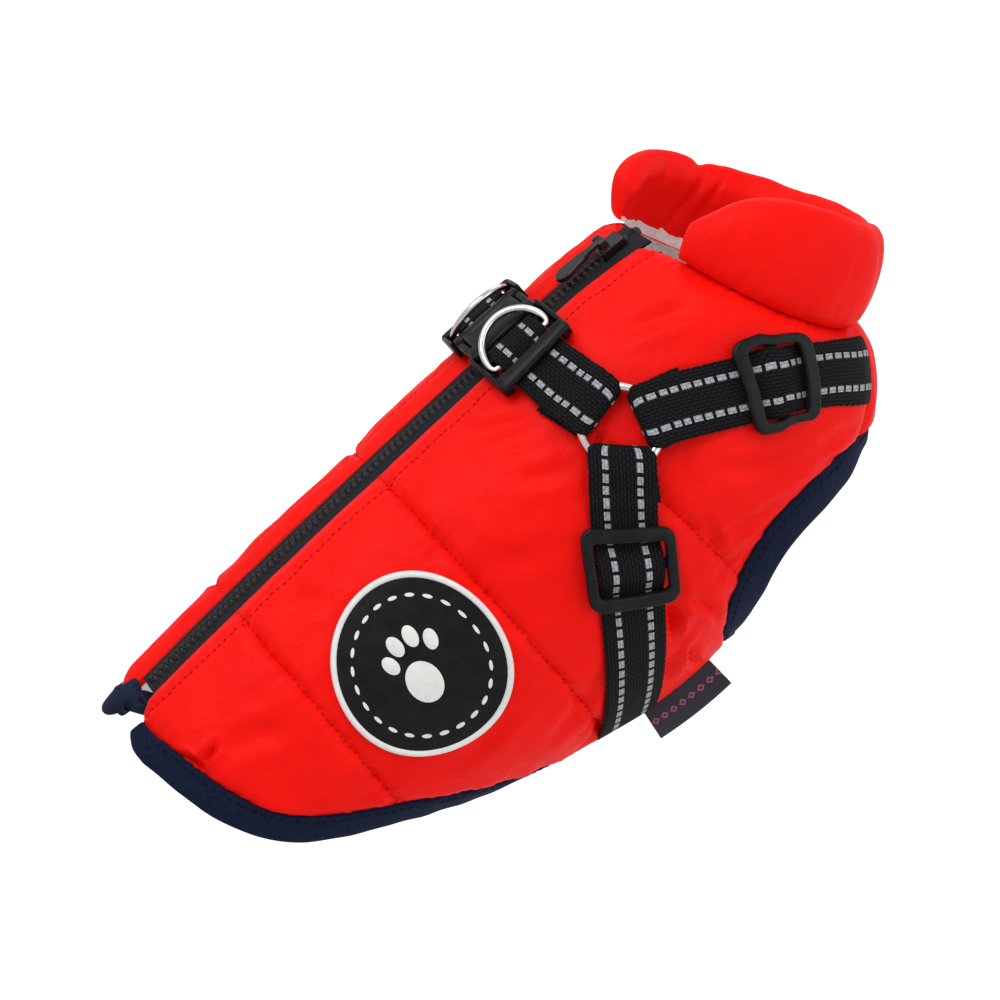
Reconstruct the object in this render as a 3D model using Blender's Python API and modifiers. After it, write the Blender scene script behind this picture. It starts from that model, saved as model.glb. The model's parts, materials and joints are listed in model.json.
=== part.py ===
"""Padded jacket for a small dog, with its own webbing harness.

The jacket zips along the back, has a puffed stand collar that is split at the back, two leg holes, a bound
hem that is cut up towards the belly, and a harness of 20 mm webbing with a side-release buckle over the zip.
It keeps the hollow form that it has when worn: +X is towards the head, +Z is up and +Y is the dog's left.

Every cloth piece follows one skin, the inner face of the garment. A place on the skin is given by `along`,
the distance in millimetres from the withers to the section's top on the back line, and `angle`, in degrees
round that section from the back line, positive on the dog's right. A height is in millimetres above the skin.
"""

import math

import bmesh
import bpy
from mathutils import Matrix, Vector

MM = 0.001
PART = "dog_jacket"

# The sections of the skin: an oval each, hung from the back line and tilted with the chest and the neck.
# Between the leg holes the cloth is drawn straight, so that the oval's underside is raised there.
SECTIONS = (
    # along   top  tilt  depth  half_width  raised
    (-175.0, -4.0, -7.0, 76.0, 38.0, 0.0),
    (-150.0, -2.0, -5.0, 82.0, 41.0, 0.0),
    (-110.0, -0.3, -3.0, 91.0, 45.0, 0.0),
    (-60.0, 0.3, -1.0, 107.0, 51.0, 0.0),
    (-20.0, 0.3, 1.0, 113.5, 54.0, 0.0),
    (10.0, 0.0, 8.0, 110.5, 53.0, 5.5),
    (33.0, -0.5, 18.5, 101.5, 47.5, 2.5),
    (44.0, -1.0, 25.0, 87.0, 41.0, 2.5),
    (52.0, -1.6, 26.5, 69.0, 35.5, 4.0),
)
TOP, TILT, DEPTH, HALF_WIDTH, RAISED = 1, 2, 3, 4, 5
RAISED_FROM, RAISED_TO = 0.35, 0.92

# The cut edge of a flank panel at the hem, from the rear end of the zip down to the belly seam.
HEM = (
    # step  along  angle
    (0, -148.5, 9.5),
    (1, -151.0, 20.0),
    (2, -150.0, 42.0),
    (3, -147.0, 62.0),
    (4, -141.0, 79.0),
    (5, -131.0, 94.0),
    (6, -109.0, 114.0),
    (7, -85.0, 136.0),
    (8, -66.0, 150.0),
)
HEM_CORNER = 4
HEM_BELLY = -50.0

# The seams between the flanks and the chest panel: behind the leg holes, and in front of them.
SEAM_ANGLE = 150.0
FRONT_SEAM_ANGLE = 133.0
CHEST_NECK_GAP = 0.35
NECK = 52.0
NECK_DIP = 4.0
ZIP_OPENING = 13.0
ZIP_FLARE = 6.0
ZIP_FLARE_FROM = 22.0

ARMHOLE_CENTRE = 9.5
ARMHOLE_HALF_LENGTH = 24.5
ARMHOLE_RISE = 39.0
ARMHOLE_DROP = 13.0
ARMHOLE_STEPS = 12

# The padded wall: sewn lines across the back, with soft channels between them.
QUILT_LINES = (-112.0, -54.5, -2.75)
QUILT_REACH = 11.0
SEWN_HEIGHT = 3.1
PUFF_HEIGHT = 4.6
EDGE_HEIGHT = 2.4
GAP = 0.3
# The length on the skin, as a part of the length at the height where a ring or a disc lies.
SKIN_SHRINK = 0.94

BINDING_WIDTH = 8.5
BINDING_HEIGHT = 3.8
ARMHOLE_BINDING_WIDTH = 11.0
ARMHOLE_BINDING_LOW = 4.6
ARMHOLE_FLARE = 4.0

COLLAR_FROM = 36.0
COLLAR_STEPS = 24
COLLAR_END_STEP = 6.0
COLLAR_LEAN = 33.0
COLLAR_PUFF = 8.0
COLLAR_CORE = 0.45

CHAIN_WIDTH = 5.6
CHAIN_HEIGHT = 2.4
TAPE_LOW = 0.2
TAPE_HEIGHT = 1.0
ZIP_REAR = -148.5
ZIP_NECK = 50.0
SLIDER_CENTRE = 43.0
SLIDER_LENGTH = 8.8
SLIDER_WIDTH = 7.4
SLIDER_LOW = 1.3
SLIDER_TOP = 4.6
ZIP_SPREAD = 1.4
PULL_AXIS = 41.5
PULL_AXIS_HEIGHT = 6.6
PULL_LENGTH = 17.5
PULL_THICKNESS = 1.5
PULL_EYE_RADIUS = 1.6
PULL_LOBE_RADIUS = 3.5

BADGE_PLACE = (-82.1, 69.8)
BADGE_RADIUS = 27.3
BADGE_RIM = 1.8
BADGE_FACE_HEIGHT = 1.5
BADGE_RIM_HEIGHT = 2.1

LABEL_FROM = -42.0
LABEL_WIDTH = 22.0
LABEL_LENGTH = 11.5
LABEL_THICKNESS = 0.6

WEB_WIDTH = 20.0
WEB_THICKNESS = 1.4
WEB_BED = PUFF_HEIGHT + 0.5
LAYER_LOW = WEB_BED + WEB_THICKNESS / 2
LAYER_HIGH = LAYER_LOW + WEB_THICKNESS + GAP
TAIL_LENGTH = 22.0

RING_RADIUS = 11.6
RING_WIRE = 2.6
RING_WIRE_HEIGHT = LAYER_LOW + WEB_THICKNESS / 2 + GAP + RING_WIRE / 2
LOOP_RADIUS = RING_WIRE / 2 + GAP + WEB_THICKNESS / 2
LOOP_CENTRE = 8.2
LOOP_TAPER = 1.25

# Routes of the webbing over the skin, from the ring.
YOKE_ROUTE = (
    # step  along  angle
    (0, 3.0, 53.5),
    (1, 2.0, 36.0),
    (2, 1.5, 19.0),
    (3, 1.5, 0.0),
    (4, 1.5, -19.0),
    (5, 2.0, -36.0),
    (6, 3.0, -53.5),
)
CHEST_ROUTE = (
    # step  along  angle
    (0, 3.0, 53.5),
    (1, 19.0, 64.0),
    (2, 32.0, 80.5),
    (3, 38.5, 99.0),
    (4, 41.5, 122.0),
    (5, 42.0, 150.0),
)
BELLY_ROUTE = (
    # step  along  angle
    (0, 3.0, 53.5),
    (1, -12.0, 70.5),
    (2, -25.0, 90.0),
    (3, -37.0, 112.0),
    (4, -46.0, 133.0),
    (5, -50.0, 148.0),
)
CHEST_END_ANGLE = 131.0
BELLY_END_ANGLE = 147.5
BELLY_END_BACK = 4.0
STRAP_END_DROP = 1.2

GLIDE_LENGTH = 24.0
GLIDE_WIDTH = 28.0
GLIDE_BAR = 4.2
GLIDE_RAIL = 3.2
GLIDE_CORNER = 4.0
GLIDE_LOW = LAYER_LOW + WEB_THICKNESS / 2 + GAP
GLIDE_THICKNESS = 2.8
GLIDE_CENTRE_BAR = 3.2
GLIDE_CENTRE_TOP = 7.6
CHEST_GLIDE_AT = 49.5
BELLY_GLIDE_AT = 41.0

BUCKLE_HALF_WIDTH = 12.5
BUCKLE_REACH = 26.0
BUCKLE_BAR = 4.4
BUCKLE_BODY = 8.8
BUCKLE_SPLIT = -5.0
BUCKLE_TOP = 10.8
FRAME_RAIL = 2.1
FRAME_RAIL_TOP = 7.2
FRAME_BAR_LOW = LAYER_HIGH + WEB_THICKNESS / 2 + GAP
FRAME_BAR_TOP = FRAME_BAR_LOW + 2.8
FRAME_POST_TOP = 8.2
INNER_BAR_AT = 12.2
INNER_BAR_RADIUS = 1.0
INNER_BAR_TURN = 2.3
INNER_BAR_HEIGHT = LAYER_LOW + INNER_BAR_TURN
ARM_WIDTH = 2.4
ARM_END = 3.0

D_RING_AT = 16.8
D_RING_HEIGHT = 8.6
D_RING_WIRE = 2.2
D_RING_RADIUS = 10.9
D_RING_STRAIGHT = 1.6
D_RING_LEAN = 25.5

COLOURS = {
    "shell": ((0.86, 0.02, 0.012, 1.0), 0.5, 0.0),
    "binding": ((0.008, 0.014, 0.04, 1.0), 0.85, 0.0),
    "webbing": ((0.01, 0.01, 0.012, 1.0), 0.8, 0.0),
    "zip": ((0.02, 0.02, 0.024, 1.0), 0.6, 0.0),
    "plastic": ((0.018, 0.018, 0.02, 1.0), 0.4, 0.0),
    "rubber": ((0.01, 0.01, 0.01, 1.0), 0.45, 0.0),
    "label": ((0.012, 0.014, 0.035, 1.0), 0.6, 0.0),
    "nickel": ((0.8, 0.79, 0.76, 1.0), 0.2, 1.0),
}


def blend(rows, column, at):
    """The value of a table's column at a station, on a smooth curve through its rows."""
    last = len(rows) - 2
    index = 0
    while index < last and at > rows[index + 1][0]:
        index += 1
    slopes = []
    for near in (index, index + 1):
        before, after = max(near - 1, 0), min(near + 1, last + 1)
        slopes.append((rows[after][column] - rows[before][column]) / (rows[after][0] - rows[before][0]))
    start, end = rows[index], rows[index + 1]
    span = end[0] - start[0]
    part = (at - start[0]) / span
    rise = part * part * (3 - 2 * part)
    return (
        start[column] * (1 - rise)
        + end[column] * rise
        + span * slopes[0] * part * (1 - part) ** 2
        - span * slopes[1] * part * part * (1 - part)
    )


def skin_point(along, angle):
    """A point of the inner face of the garment, in millimetres."""
    tilt = math.radians(blend(SECTIONS, TILT, along))
    turn = math.radians(angle)
    down = blend(SECTIONS, DEPTH, along) * (1 - math.cos(turn)) / 2
    under = max(0.0, min(1.0, (-math.cos(turn) - RAISED_FROM) / (RAISED_TO - RAISED_FROM)))
    down -= blend(SECTIONS, RAISED, along) * under * under * (3 - 2 * under)
    return Vector((
        along + math.sin(tilt) * down,
        -blend(SECTIONS, HALF_WIDTH, along) * math.sin(turn),
        blend(SECTIONS, TOP, along) - math.cos(tilt) * down,
    ))


def skin_slopes(along, angle):
    """The change of the skin point for 1 mm along and for 1 degree of angle."""
    step = 0.25
    forward = (skin_point(along + step, angle) - skin_point(along - step, angle)) / (2 * step)
    around = (skin_point(along, angle + step) - skin_point(along, angle - step)) / (2 * step)
    return forward, around


def skin_normal(along, angle):
    forward, around = skin_slopes(along, angle)
    return around.cross(forward).normalized()


def on_skin(along, angle, height):
    return skin_point(along, angle) + skin_normal(along, angle) * height


def slide(along, angle, step):
    """The place that lies the tangent vector `step` away from a place on the skin."""
    forward, around = skin_slopes(along, angle)
    ff, fa, aa = forward.dot(forward), forward.dot(around), around.dot(around)
    sf, sa = step.dot(forward), step.dot(around)
    whole = ff * aa - fa * fa
    return along + (sf * aa - sa * fa) / whole, angle + (sa * ff - sf * fa) / whole


def half_opening_angle(along, width):
    """The angle at which a line runs half of `width` away from the back line."""
    return math.degrees(math.asin(width / 2 / blend(SECTIONS, HALF_WIDTH, along)))


def zip_opening(along):
    """How far apart the flanks lie at the zip: they part wider towards the neck."""
    return ZIP_OPENING + ZIP_FLARE * max(0.0, (along - ZIP_FLARE_FROM) / (NECK - ZIP_FLARE_FROM)) ** 1.5


def neck_line(angle):
    """How far along the back the collar seam lies at an angle: it dips at the sides of the neck."""
    return NECK - NECK_DIP * math.sin(math.radians(angle)) ** 2


def puff(along, fullness=1.0):
    """The height of the padded wall: low at a sewn line, full a few millimetres away from it."""
    distance = min(abs(along - line) for line in QUILT_LINES)
    rise = math.sin(math.pi / 2 * min(1.0, distance / QUILT_REACH)) ** 0.8
    height = SEWN_HEIGHT + (PUFF_HEIGHT - SEWN_HEIGHT) * rise
    return EDGE_HEIGHT + (height - EDGE_HEIGHT) * fullness if height > EDGE_HEIGHT else height


def edge_fullness(step, count):
    """How full the padding is at a grid line: nothing on the panel's edge, almost all one line further in."""
    return (0.0, 0.88)[min(step, count - step)] if min(step, count - step) < 2 else 1.0


class Band:
    """A route over the skin. Its points are given by distance along it, offset across it, and height."""

    SAMPLES = 160

    def __init__(self, route):
        last = route[-1][0]
        self.places = []
        for sample in range(self.SAMPLES + 1):
            at = last * sample / self.SAMPLES
            self.places.append((blend(route, 1, at), blend(route, 2, at)))
        points = [on_skin(*place, LAYER_LOW) for place in self.places]
        self.distances = [0.0]
        for before, after in zip(points, points[1:]):
            self.distances.append(self.distances[-1] + (after - before).length)
        self.length = self.distances[-1]

    def place(self, distance):
        index = 0
        while index < self.SAMPLES - 1 and distance > self.distances[index + 1]:
            index += 1
        part = (distance - self.distances[index]) / (self.distances[index + 1] - self.distances[index])
        before, after = self.places[index], self.places[index + 1]
        return tuple(a + (b - a) * part for a, b in zip(before, after))

    def point(self, distance, across, height):
        place = self.place(distance)
        ahead = skin_point(*self.place(distance + 1.0)) - skin_point(*self.place(distance - 1.0))
        side = skin_normal(*place).cross(ahead).normalized()
        reach = across / (1 + self.curvature_across(place, side) * height)
        return on_skin(*slide(*place, side * reach), height)

    @staticmethod
    def curvature_across(place, side):
        """How fast the skin's normal turns for a step to the side, so that widths hold at a height."""
        turned = skin_normal(*slide(*place, side)) - skin_normal(*slide(*place, -side))
        return turned.dot(side) / 2


def material(name):
    colour, roughness, metallic = COLOURS[name]
    made = bpy.data.materials.get(name)
    if made is None:
        made = bpy.data.materials.new(name)
        made.use_nodes = True
        shader = made.node_tree.nodes["Principled BSDF"]
        shader.inputs["Base Color"].default_value = colour
        shader.inputs["Roughness"].default_value = roughness
        shader.inputs["Metallic"].default_value = metallic
        made.diffuse_color = colour
    return made


def collection(name):
    made = bpy.data.collections.get(name)
    if made is None:
        made = bpy.data.collections.new(name)
        bpy.context.scene.collection.children.link(made)
    return made


def add_object(name, mesh, finish, origin=Vector()):
    """Puts a mesh that was worked out in millimetres into the part, with its origin on `origin`."""
    mesh.transform(Matrix.Scale(MM, 4) @ Matrix.Translation(-origin))
    mesh.materials.clear()
    mesh.materials.append(material(finish))
    obj = bpy.data.objects.new(name, mesh)
    obj.location = origin * MM
    collection(PART).objects.link(obj)
    mesh.shade_smooth()
    mesh.set_sharp_from_angle(angle=math.radians(40))
    return obj


def mesh_from(bm, name):
    """A finished mesh whose faces point outwards."""
    bmesh.ops.recalc_face_normals(bm, faces=bm.faces)
    if bm.calc_volume(signed=True) < 0:
        bmesh.ops.reverse_faces(bm, faces=bm.faces)
    mesh = bpy.data.meshes.new(name)
    bm.to_mesh(mesh)
    bm.free()
    return mesh


def loft(name, rings, closed=False):
    """A closed solid through rings of the same number of points; a closed one joins its last ring to its first."""
    bm = bmesh.new()
    rows = [[bm.verts.new(point) for point in ring] for ring in rings]
    count = len(rows[0])
    pairs = list(zip(rows, rows[1:] + rows[:1])) if closed else list(zip(rows, rows[1:]))
    for first, second in pairs:
        for k in range(count):
            bm.faces.new((first[k], first[(k + 1) % count], second[(k + 1) % count], second[k]))
    if not closed:
        bm.faces.new(rows[0])
        bm.faces.new(rows[-1])
    return mesh_from(bm, name)


def wall(name, grid, heights):
    """A closed wall over a grid of places on the skin: a plain inner face and an outer face at `heights`."""
    bm = bmesh.new()
    rows, columns = len(grid), len(grid[0])
    inner = [[bm.verts.new(on_skin(*place, 0.0)) for place in row] for row in grid]
    outer = [
        [bm.verts.new(on_skin(*grid[i][j], heights[i][j])) for j in range(columns)]
        for i in range(rows)
    ]
    for face in (inner, outer):
        for i in range(rows - 1):
            for j in range(columns - 1):
                bm.faces.new((face[i][j], face[i][j + 1], face[i + 1][j + 1], face[i + 1][j]))
    border = [(i, 0) for i in range(rows)]
    border += [(rows - 1, j) for j in range(1, columns)]
    border += [(i, columns - 1) for i in range(rows - 2, -1, -1)]
    border += [(0, j) for j in range(columns - 2, 0, -1)]
    for (i, j), (k, m) in zip(border, border[1:] + border[:1]):
        bm.faces.new((inner[i][j], inner[k][m], outer[k][m], outer[i][j]))
    return mesh_from(bm, name)


def hem_place(step):
    return blend(HEM, 1, step), blend(HEM, 2, step)


def hem_step_at(along):
    """The step of the hem table at which the hem passes a distance along the back, below its corner."""
    low, high = float(HEM_CORNER), float(HEM[-1][0])
    for _ in range(40):
        middle = (low + high) / 2
        if blend(HEM, 1, middle) < along:
            low = middle
        else:
            high = middle
    return low


def front_seam_start():
    """The distance along the leg hole at which the front seam leaves it."""
    bulge = (SEAM_ANGLE - FRONT_SEAM_ANGLE) / ARMHOLE_RISE
    return ARMHOLE_CENTRE + ARMHOLE_HALF_LENGTH * math.sqrt(1 - bulge * bulge)


def armhole_stations():
    """Distances along the leg hole, closer together at its two ends. The last but two is where the front seam starts."""
    stations = [
        ARMHOLE_CENTRE - ARMHOLE_HALF_LENGTH * math.cos(math.pi * step / ARMHOLE_STEPS)
        for step in range(ARMHOLE_STEPS + 1)
    ]
    stations[-3] = front_seam_start()
    return stations


def armhole_bulge(along):
    part = (along - ARMHOLE_CENTRE) / ARMHOLE_HALF_LENGTH
    return math.sqrt(max(0.0, 1 - part * part))


def armhole_top(along):
    return SEAM_ANGLE - ARMHOLE_RISE * armhole_bulge(along)


def flank_low_edge():
    """The lower edge of a flank panel, from the corner of the hem to the neck."""
    stations = [HEM[HEM_CORNER][1], -133.0, -124.0, -117.0, -112.0, -107.0, -98.0, -84.0, -73.0]
    places = [(along, blend(HEM, 2, hem_step_at(along))) for along in stations]
    places.append((HEM[-1][1], SEAM_ANGLE))
    places += [(along, SEAM_ANGLE) for along in (-60.0, -54.5, -49.0, -38.0, -26.0)]
    places += [(along, armhole_top(along)) for along in armhole_stations()[:-2]]
    return places + [(along, FRONT_SEAM_ANGLE) for along in (37.0, 43.0, neck_line(FRONT_SEAM_ANGLE))]


def flank_grid(rows=16):
    """Places of a flank panel: columns run from the zip edge down to the low edge, in order towards the head."""
    low = flank_low_edge()
    first, last = low[0][0], low[-1][0]
    rear = [hem_place(HEM_CORNER * row / rows) for row in range(rows + 1)]
    zip_end = (neck_line(0.0) - 1.5, half_opening_angle(NECK, zip_opening(NECK)))
    grid = []
    for along, angle in low:
        u = (along - first) / (last - first)
        top_along = rear[0][0] + (zip_end[0] - rear[0][0]) * u
        top = (top_along, half_opening_angle(top_along, zip_opening(top_along)))
        column = []
        for row in range(rows + 1):
            v = row / rows
            front_angle = zip_end[1] + (FRONT_SEAM_ANGLE - zip_end[1]) * v
            front = (neck_line(front_angle) - 1.5 * (1 - v) ** 8, front_angle)
            place = []
            for k in range(2):
                edges = (1 - v) * top[k] + v * (along, angle)[k] + (1 - u) * rear[row][k] + u * front[k]
                corners = (1 - u) * ((1 - v) * rear[0][k] + v * rear[-1][k])
                corners += u * ((1 - v) * zip_end[k] + v * low[-1][k])
                place.append(edges - corners)
            column.append(tuple(place))
        grid.append(column)
    return grid


def mirrored(grid):
    return [[(along, -angle) for along, angle in column] for column in grid]


def make_flank(name, grid):
    columns, rows = len(grid) - 1, len(grid[0]) - 1
    heights = [
        [puff(grid[i][j][0], edge_fullness(i, columns) * edge_fullness(j, rows)) for j in range(rows + 1)]
        for i in range(columns + 1)
    ]
    add_object(name, wall(name, grid, heights), "shell")


def chest_rows():
    """The rows of the chest panel: where its right edge lies (along, angle), and where its middle lies (along)."""
    seam = GAP * 1.1
    rows = [(along, SEAM_ANGLE + seam, along) for along in (HEM[-1][1], -60.0, -54.5, -49.0, -38.0, -26.0)]
    stations = armhole_stations()
    for along in stations:
        drop = ARMHOLE_DROP * armhole_bulge(along)
        rows.append((along, SEAM_ANGLE + (drop if along > stations[0] else seam), along))
    corner = stations[-3] + 0.12
    rows += [(stations[-2], armhole_top(stations[-2]), 35.5), (corner, armhole_top(corner), 38.0)]
    side = FRONT_SEAM_ANGLE + seam
    return rows + [(37.0, side, 41.5), (43.0, side, 46.0), (neck_line(side), side, NECK)]


def chest_grid(columns=8):
    """Places of the chest panel, in rows across the belly from the hem to the neck."""
    rows = chest_rows()
    grid = []
    for side_along, side, middle_along in rows:
        fade = max(0.0, min(1.0, (-20.0 - side_along) / 46.0))
        row = []
        for column in range(columns + 1):
            angle = side + (360.0 - 2 * side) * column / columns
            if middle_along == NECK:
                row.append((neck_line(angle) - CHEST_NECK_GAP, angle))
                continue
            middle = math.cos(math.pi * (angle - 180.0) / (2 * (180.0 - SEAM_ANGLE))) if fade else 0.0
            bulge = (HEM_BELLY - HEM[-1][1]) * fade * max(0.0, middle)
            out = abs(2 * column / columns - 1) ** 3
            row.append((middle_along + (side_along - middle_along) * out + bulge, angle))
        grid.append(row)
    return grid


def make_chest(grid):
    rows, columns = len(grid) - 1, len(grid[0]) - 1
    heights = [
        [puff(grid[i][j][0], edge_fullness(i, rows) * edge_fullness(j, columns)) for j in range(columns + 1)]
        for i in range(rows + 1)
    ]
    add_object("chest_panel", wall("chest_panel", grid, heights), "shell")


def binding_ring(place, outward, width, profile, flare):
    """One section of a binding that starts at a panel's edge and reaches outward over the skin."""
    ring = []
    for reach, height in profile:
        at = slide(*place, outward * (GAP + reach * width))
        ring.append(on_skin(*at, height * BINDING_HEIGHT + flare * reach))
    return ring


BINDING_PROFILE = (
    # reach  height, as parts of the binding's width and thickness
    (0.0, 0.08),
    (0.0, 0.86),
    (0.45, 1.0),
    (0.9, 0.9),
    (1.0, 0.5),
    (0.92, 0.1),
    (0.45, 0.0),
)


def bind_edge(name, places, widths, closed, flare=0.0, turn=1.0):
    """A binding along an edge of the cloth, given by its places and its width at each of them.

    `turn` picks the side that it reaches to, and `flare` is how far its free edge stands off, for each mm of width."""
    rings = []
    count = len(places)
    for k, (place, width) in enumerate(zip(places, widths)):
        before = places[(k - 1) % count] if closed else places[max(k - 1, 0)]
        after = places[(k + 1) % count] if closed else places[min(k + 1, count - 1)]
        ahead = skin_point(*after) - skin_point(*before)
        outward = skin_normal(*place).cross(ahead).normalized() * turn
        rings.append(binding_ring(place, outward, width, BINDING_PROFILE, flare * width))
    add_object(name, loft(name, rings, closed), "binding")


def make_hem_binding(flank, chest):
    rear = [flank[0][row] for row in range(len(flank[0]))]
    low = [column[-1] for column in flank if column[-1][0] < HEM[-1][1] + 0.01][1:]
    belly = chest[0][1:-1]
    right = rear + low
    left = [(along, 360.0 - angle) for along, angle in reversed(right)]
    places = right + list(belly) + left
    bind_edge("hem_binding", places, [BINDING_WIDTH] * len(places), closed=False, turn=-1.0)


def armhole_places():
    upper = [(along, armhole_top(along)) for along in armhole_stations()]
    lower = [(along, SEAM_ANGLE + ARMHOLE_DROP * armhole_bulge(along)) for along in armhole_stations()]
    return upper + lower[-2:0:-1]


def armhole_binding_width(along, angle):
    """The leg hole's binding is broad over the shoulder, and narrow round its ends and below."""
    if angle >= SEAM_ANGLE:
        return ARMHOLE_BINDING_LOW
    part = min(1.0, (SEAM_ANGLE - angle) / ARMHOLE_RISE / 0.8)
    return ARMHOLE_BINDING_LOW + (ARMHOLE_BINDING_WIDTH - ARMHOLE_BINDING_LOW) * part * part * (3 - 2 * part)


def make_armhole_bindings():
    places = armhole_places()
    widths = [armhole_binding_width(*place) for place in places]
    flare = ARMHOLE_FLARE / ARMHOLE_BINDING_WIDTH
    bind_edge("armhole_binding_right", places, widths, True, flare, turn=-1.0)
    opposite = [(along, -angle) for along, angle in places]
    bind_edge("armhole_binding_left", opposite, widths, True, flare, turn=1.0)


COLLAR_PROFILE = (
    # out, as a part of the collar's thickness; up, as a part of its height
    (0.06, 0.01),
    (0.3, 0.01),
    (0.55, 0.01),
    (0.86, 0.12),
    (1.0, 0.38),
    (1.0, 0.68),
    (0.82, 0.9),
    (0.5, 1.0),
    (0.12, 0.94),
    (-0.06, 0.72),
    (-0.08, 0.4),
)


# Round the neck from the right end: the collar's height, and how far its top leans out.
COLLAR_SHAPE = (
    # angle  height  lean
    (36.0, 13.0, -0.5),
    (42.0, 18.5, -1.5),
    (52.0, 24.5, -2.5),
    (66.0, 29.5, -3.0),
    (90.0, 32.0, -3.0),
    (120.0, 31.0, -2.0),
    (150.0, 28.5, -1.0),
    (180.0, 27.5, 0.0),
    (220.0, 28.0, 1.0),
    (265.0, 27.5, 2.0),
    (298.0, 24.5, 2.5),
    (312.0, 20.5, 3.0),
    (320.0, 15.5, 3.0),
    (324.0, 11.5, 2.5),
)
COLLAR_ENDS = ((0.0, 0.34), (1.2, 0.68), (3.0, 0.9))


def collar_stations():
    """(angle, thickness) round the neck: rounded ends, and an even run between them."""
    start = [(COLLAR_FROM + at, thickness) for at, thickness in COLLAR_ENDS]
    first, last = COLLAR_FROM + COLLAR_END_STEP, 360.0 - COLLAR_FROM - COLLAR_END_STEP
    middle = [(first + (last - first) * step / COLLAR_STEPS, 1.0) for step in range(COLLAR_STEPS + 1)]
    return start + middle + [(360.0 - angle, thickness) for angle, thickness in reversed(start)]


def make_collar():
    """A puffed band that stands on the neck seam, split at the back, with rounded ends."""
    tilt = math.radians(COLLAR_LEAN)
    up = Vector((math.cos(tilt), 0.0, math.sin(tilt)))
    rings = []
    for angle, thickness in collar_stations():
        base = skin_point(neck_line(angle), angle)
        out = skin_normal(NECK, angle)
        out = (out - up * out.dot(up)).normalized()
        seat = EDGE_HEIGHT * max(0.0, skin_normal(neck_line(angle), angle).dot(up)) + GAP
        height, lean = blend(COLLAR_SHAPE, 1, angle), blend(COLLAR_SHAPE, 2, angle)
        ring = []
        for thick, high in COLLAR_PROFILE:
            reach = (thick - COLLAR_CORE) * thickness + COLLAR_CORE
            lift = GAP + high * height + seat * min(1.0, max(0.0, reach) * 4)
            ring.append(base + out * (reach * COLLAR_PUFF + lean * high * high) + up * lift)
        rings.append(ring)
    add_object("collar", loft("collar", rings), "shell")


def strip(name, finish, stations, inner, outer, low, high, side):
    """A flat strip beside the back line; `inner` and `outer` give its edges in millimetres from that line."""
    rings = []
    for along in stations:
        near = half_opening_angle(along, 2 * inner(along)) * side
        far = half_opening_angle(along, 2 * outer(along)) * side
        rings.append([on_skin(along, near, low), on_skin(along, far, low),
                      on_skin(along, far, high), on_skin(along, near, high)])
    add_object(name, loft(name, rings), finish)


def chain_spread(along):
    """How far the inner edge of a row of teeth lies from the back line: the zip is open past its slider."""
    opened = max(0.0, along - SLIDER_CENTRE - SLIDER_LENGTH / 2)
    return ZIP_SPREAD * opened / (ZIP_NECK - SLIDER_CENTRE - SLIDER_LENGTH / 2)


def stations_between(start, end, step):
    count = max(1, round((end - start) / step))
    return [start + (end - start) * k / count for k in range(count + 1)]


def make_zip():
    half_chain = CHAIN_WIDTH / 2
    slider_rear = SLIDER_CENTRE - SLIDER_LENGTH / 2
    slider_front = SLIDER_CENTRE + SLIDER_LENGTH / 2
    tape = stations_between(ZIP_REAR, ZIP_FLARE_FROM, 14.0) + stations_between(ZIP_FLARE_FROM, slider_front, 6.0)[1:]
    tape.append(ZIP_NECK)
    rows = stations_between(slider_front + GAP, ZIP_NECK, 7.0)
    for side, word in ((1, "right"), (-1, "left")):
        strip("zip_tape_" + word, "zip", tape, lambda at: half_chain + GAP + chain_spread(at),
              lambda at: zip_opening(at) / 2 - GAP, TAPE_LOW, TAPE_HEIGHT, side)
        strip("zip_row_" + word, "zip", rows, lambda at: GAP / 2 + chain_spread(at),
              lambda at: half_chain + chain_spread(at), TAPE_LOW, CHAIN_HEIGHT, side)
    rings = []
    for along in stations_between(ZIP_REAR + 2.0, slider_rear - GAP, 14.0):
        ring = []
        for out, height in ((-1.0, TAPE_LOW), (1.0, TAPE_LOW), (1.0, 1.7), (0.55, CHAIN_HEIGHT),
                            (-0.55, CHAIN_HEIGHT), (-1.0, 1.7)):
            ring.append(on_skin(along, half_opening_angle(along, CHAIN_WIDTH) * out, height))
        rings.append(ring)
    add_object("zip_chain", loft("zip_chain", rings), "zip")


def block(span_x, span_y, span_z):
    """A box between two values on each axis, as a mesh."""
    bm = bmesh.new()
    bmesh.ops.create_cube(bm, size=1.0)
    for vert in bm.verts:
        for axis, span in enumerate((span_x, span_y, span_z)):
            vert.co[axis] = span[0] if vert.co[axis] < 0 else span[1]
    mesh = bpy.data.meshes.new("block")
    bm.to_mesh(mesh)
    bm.free()
    return mesh


def evaluated_copy(obj, name):
    graph = bpy.context.evaluated_depsgraph_get()
    mesh = bpy.data.meshes.new_from_object(obj.evaluated_get(graph))
    mesh.name = name
    return mesh


def fused(name, meshes, bevel=0.0):
    """One mesh from overlapping ones, with its sharp edges rounded."""
    helpers = [bpy.data.objects.new(name + "_helper", mesh) for mesh in meshes]
    for helper in helpers:
        collection("cutters").objects.link(helper)
        helper.hide_render = True
        helper.display_type = "WIRE"
    body = helpers[0]
    for other in helpers[1:]:
        union = body.modifiers.new("union", "BOOLEAN")
        union.operation = "UNION"
        union.solver = "EXACT"
        union.object = other
    if bevel:
        rounding = body.modifiers.new("rounding", "BEVEL")
        rounding.width = bevel
        rounding.segments = 1
        rounding.limit_method = "ANGLE"
        rounding.angle_limit = math.radians(50)
    bpy.context.view_layer.update()
    mesh = evaluated_copy(body, name)
    for helper in helpers:
        bpy.data.objects.remove(helper)
    return mesh


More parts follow.
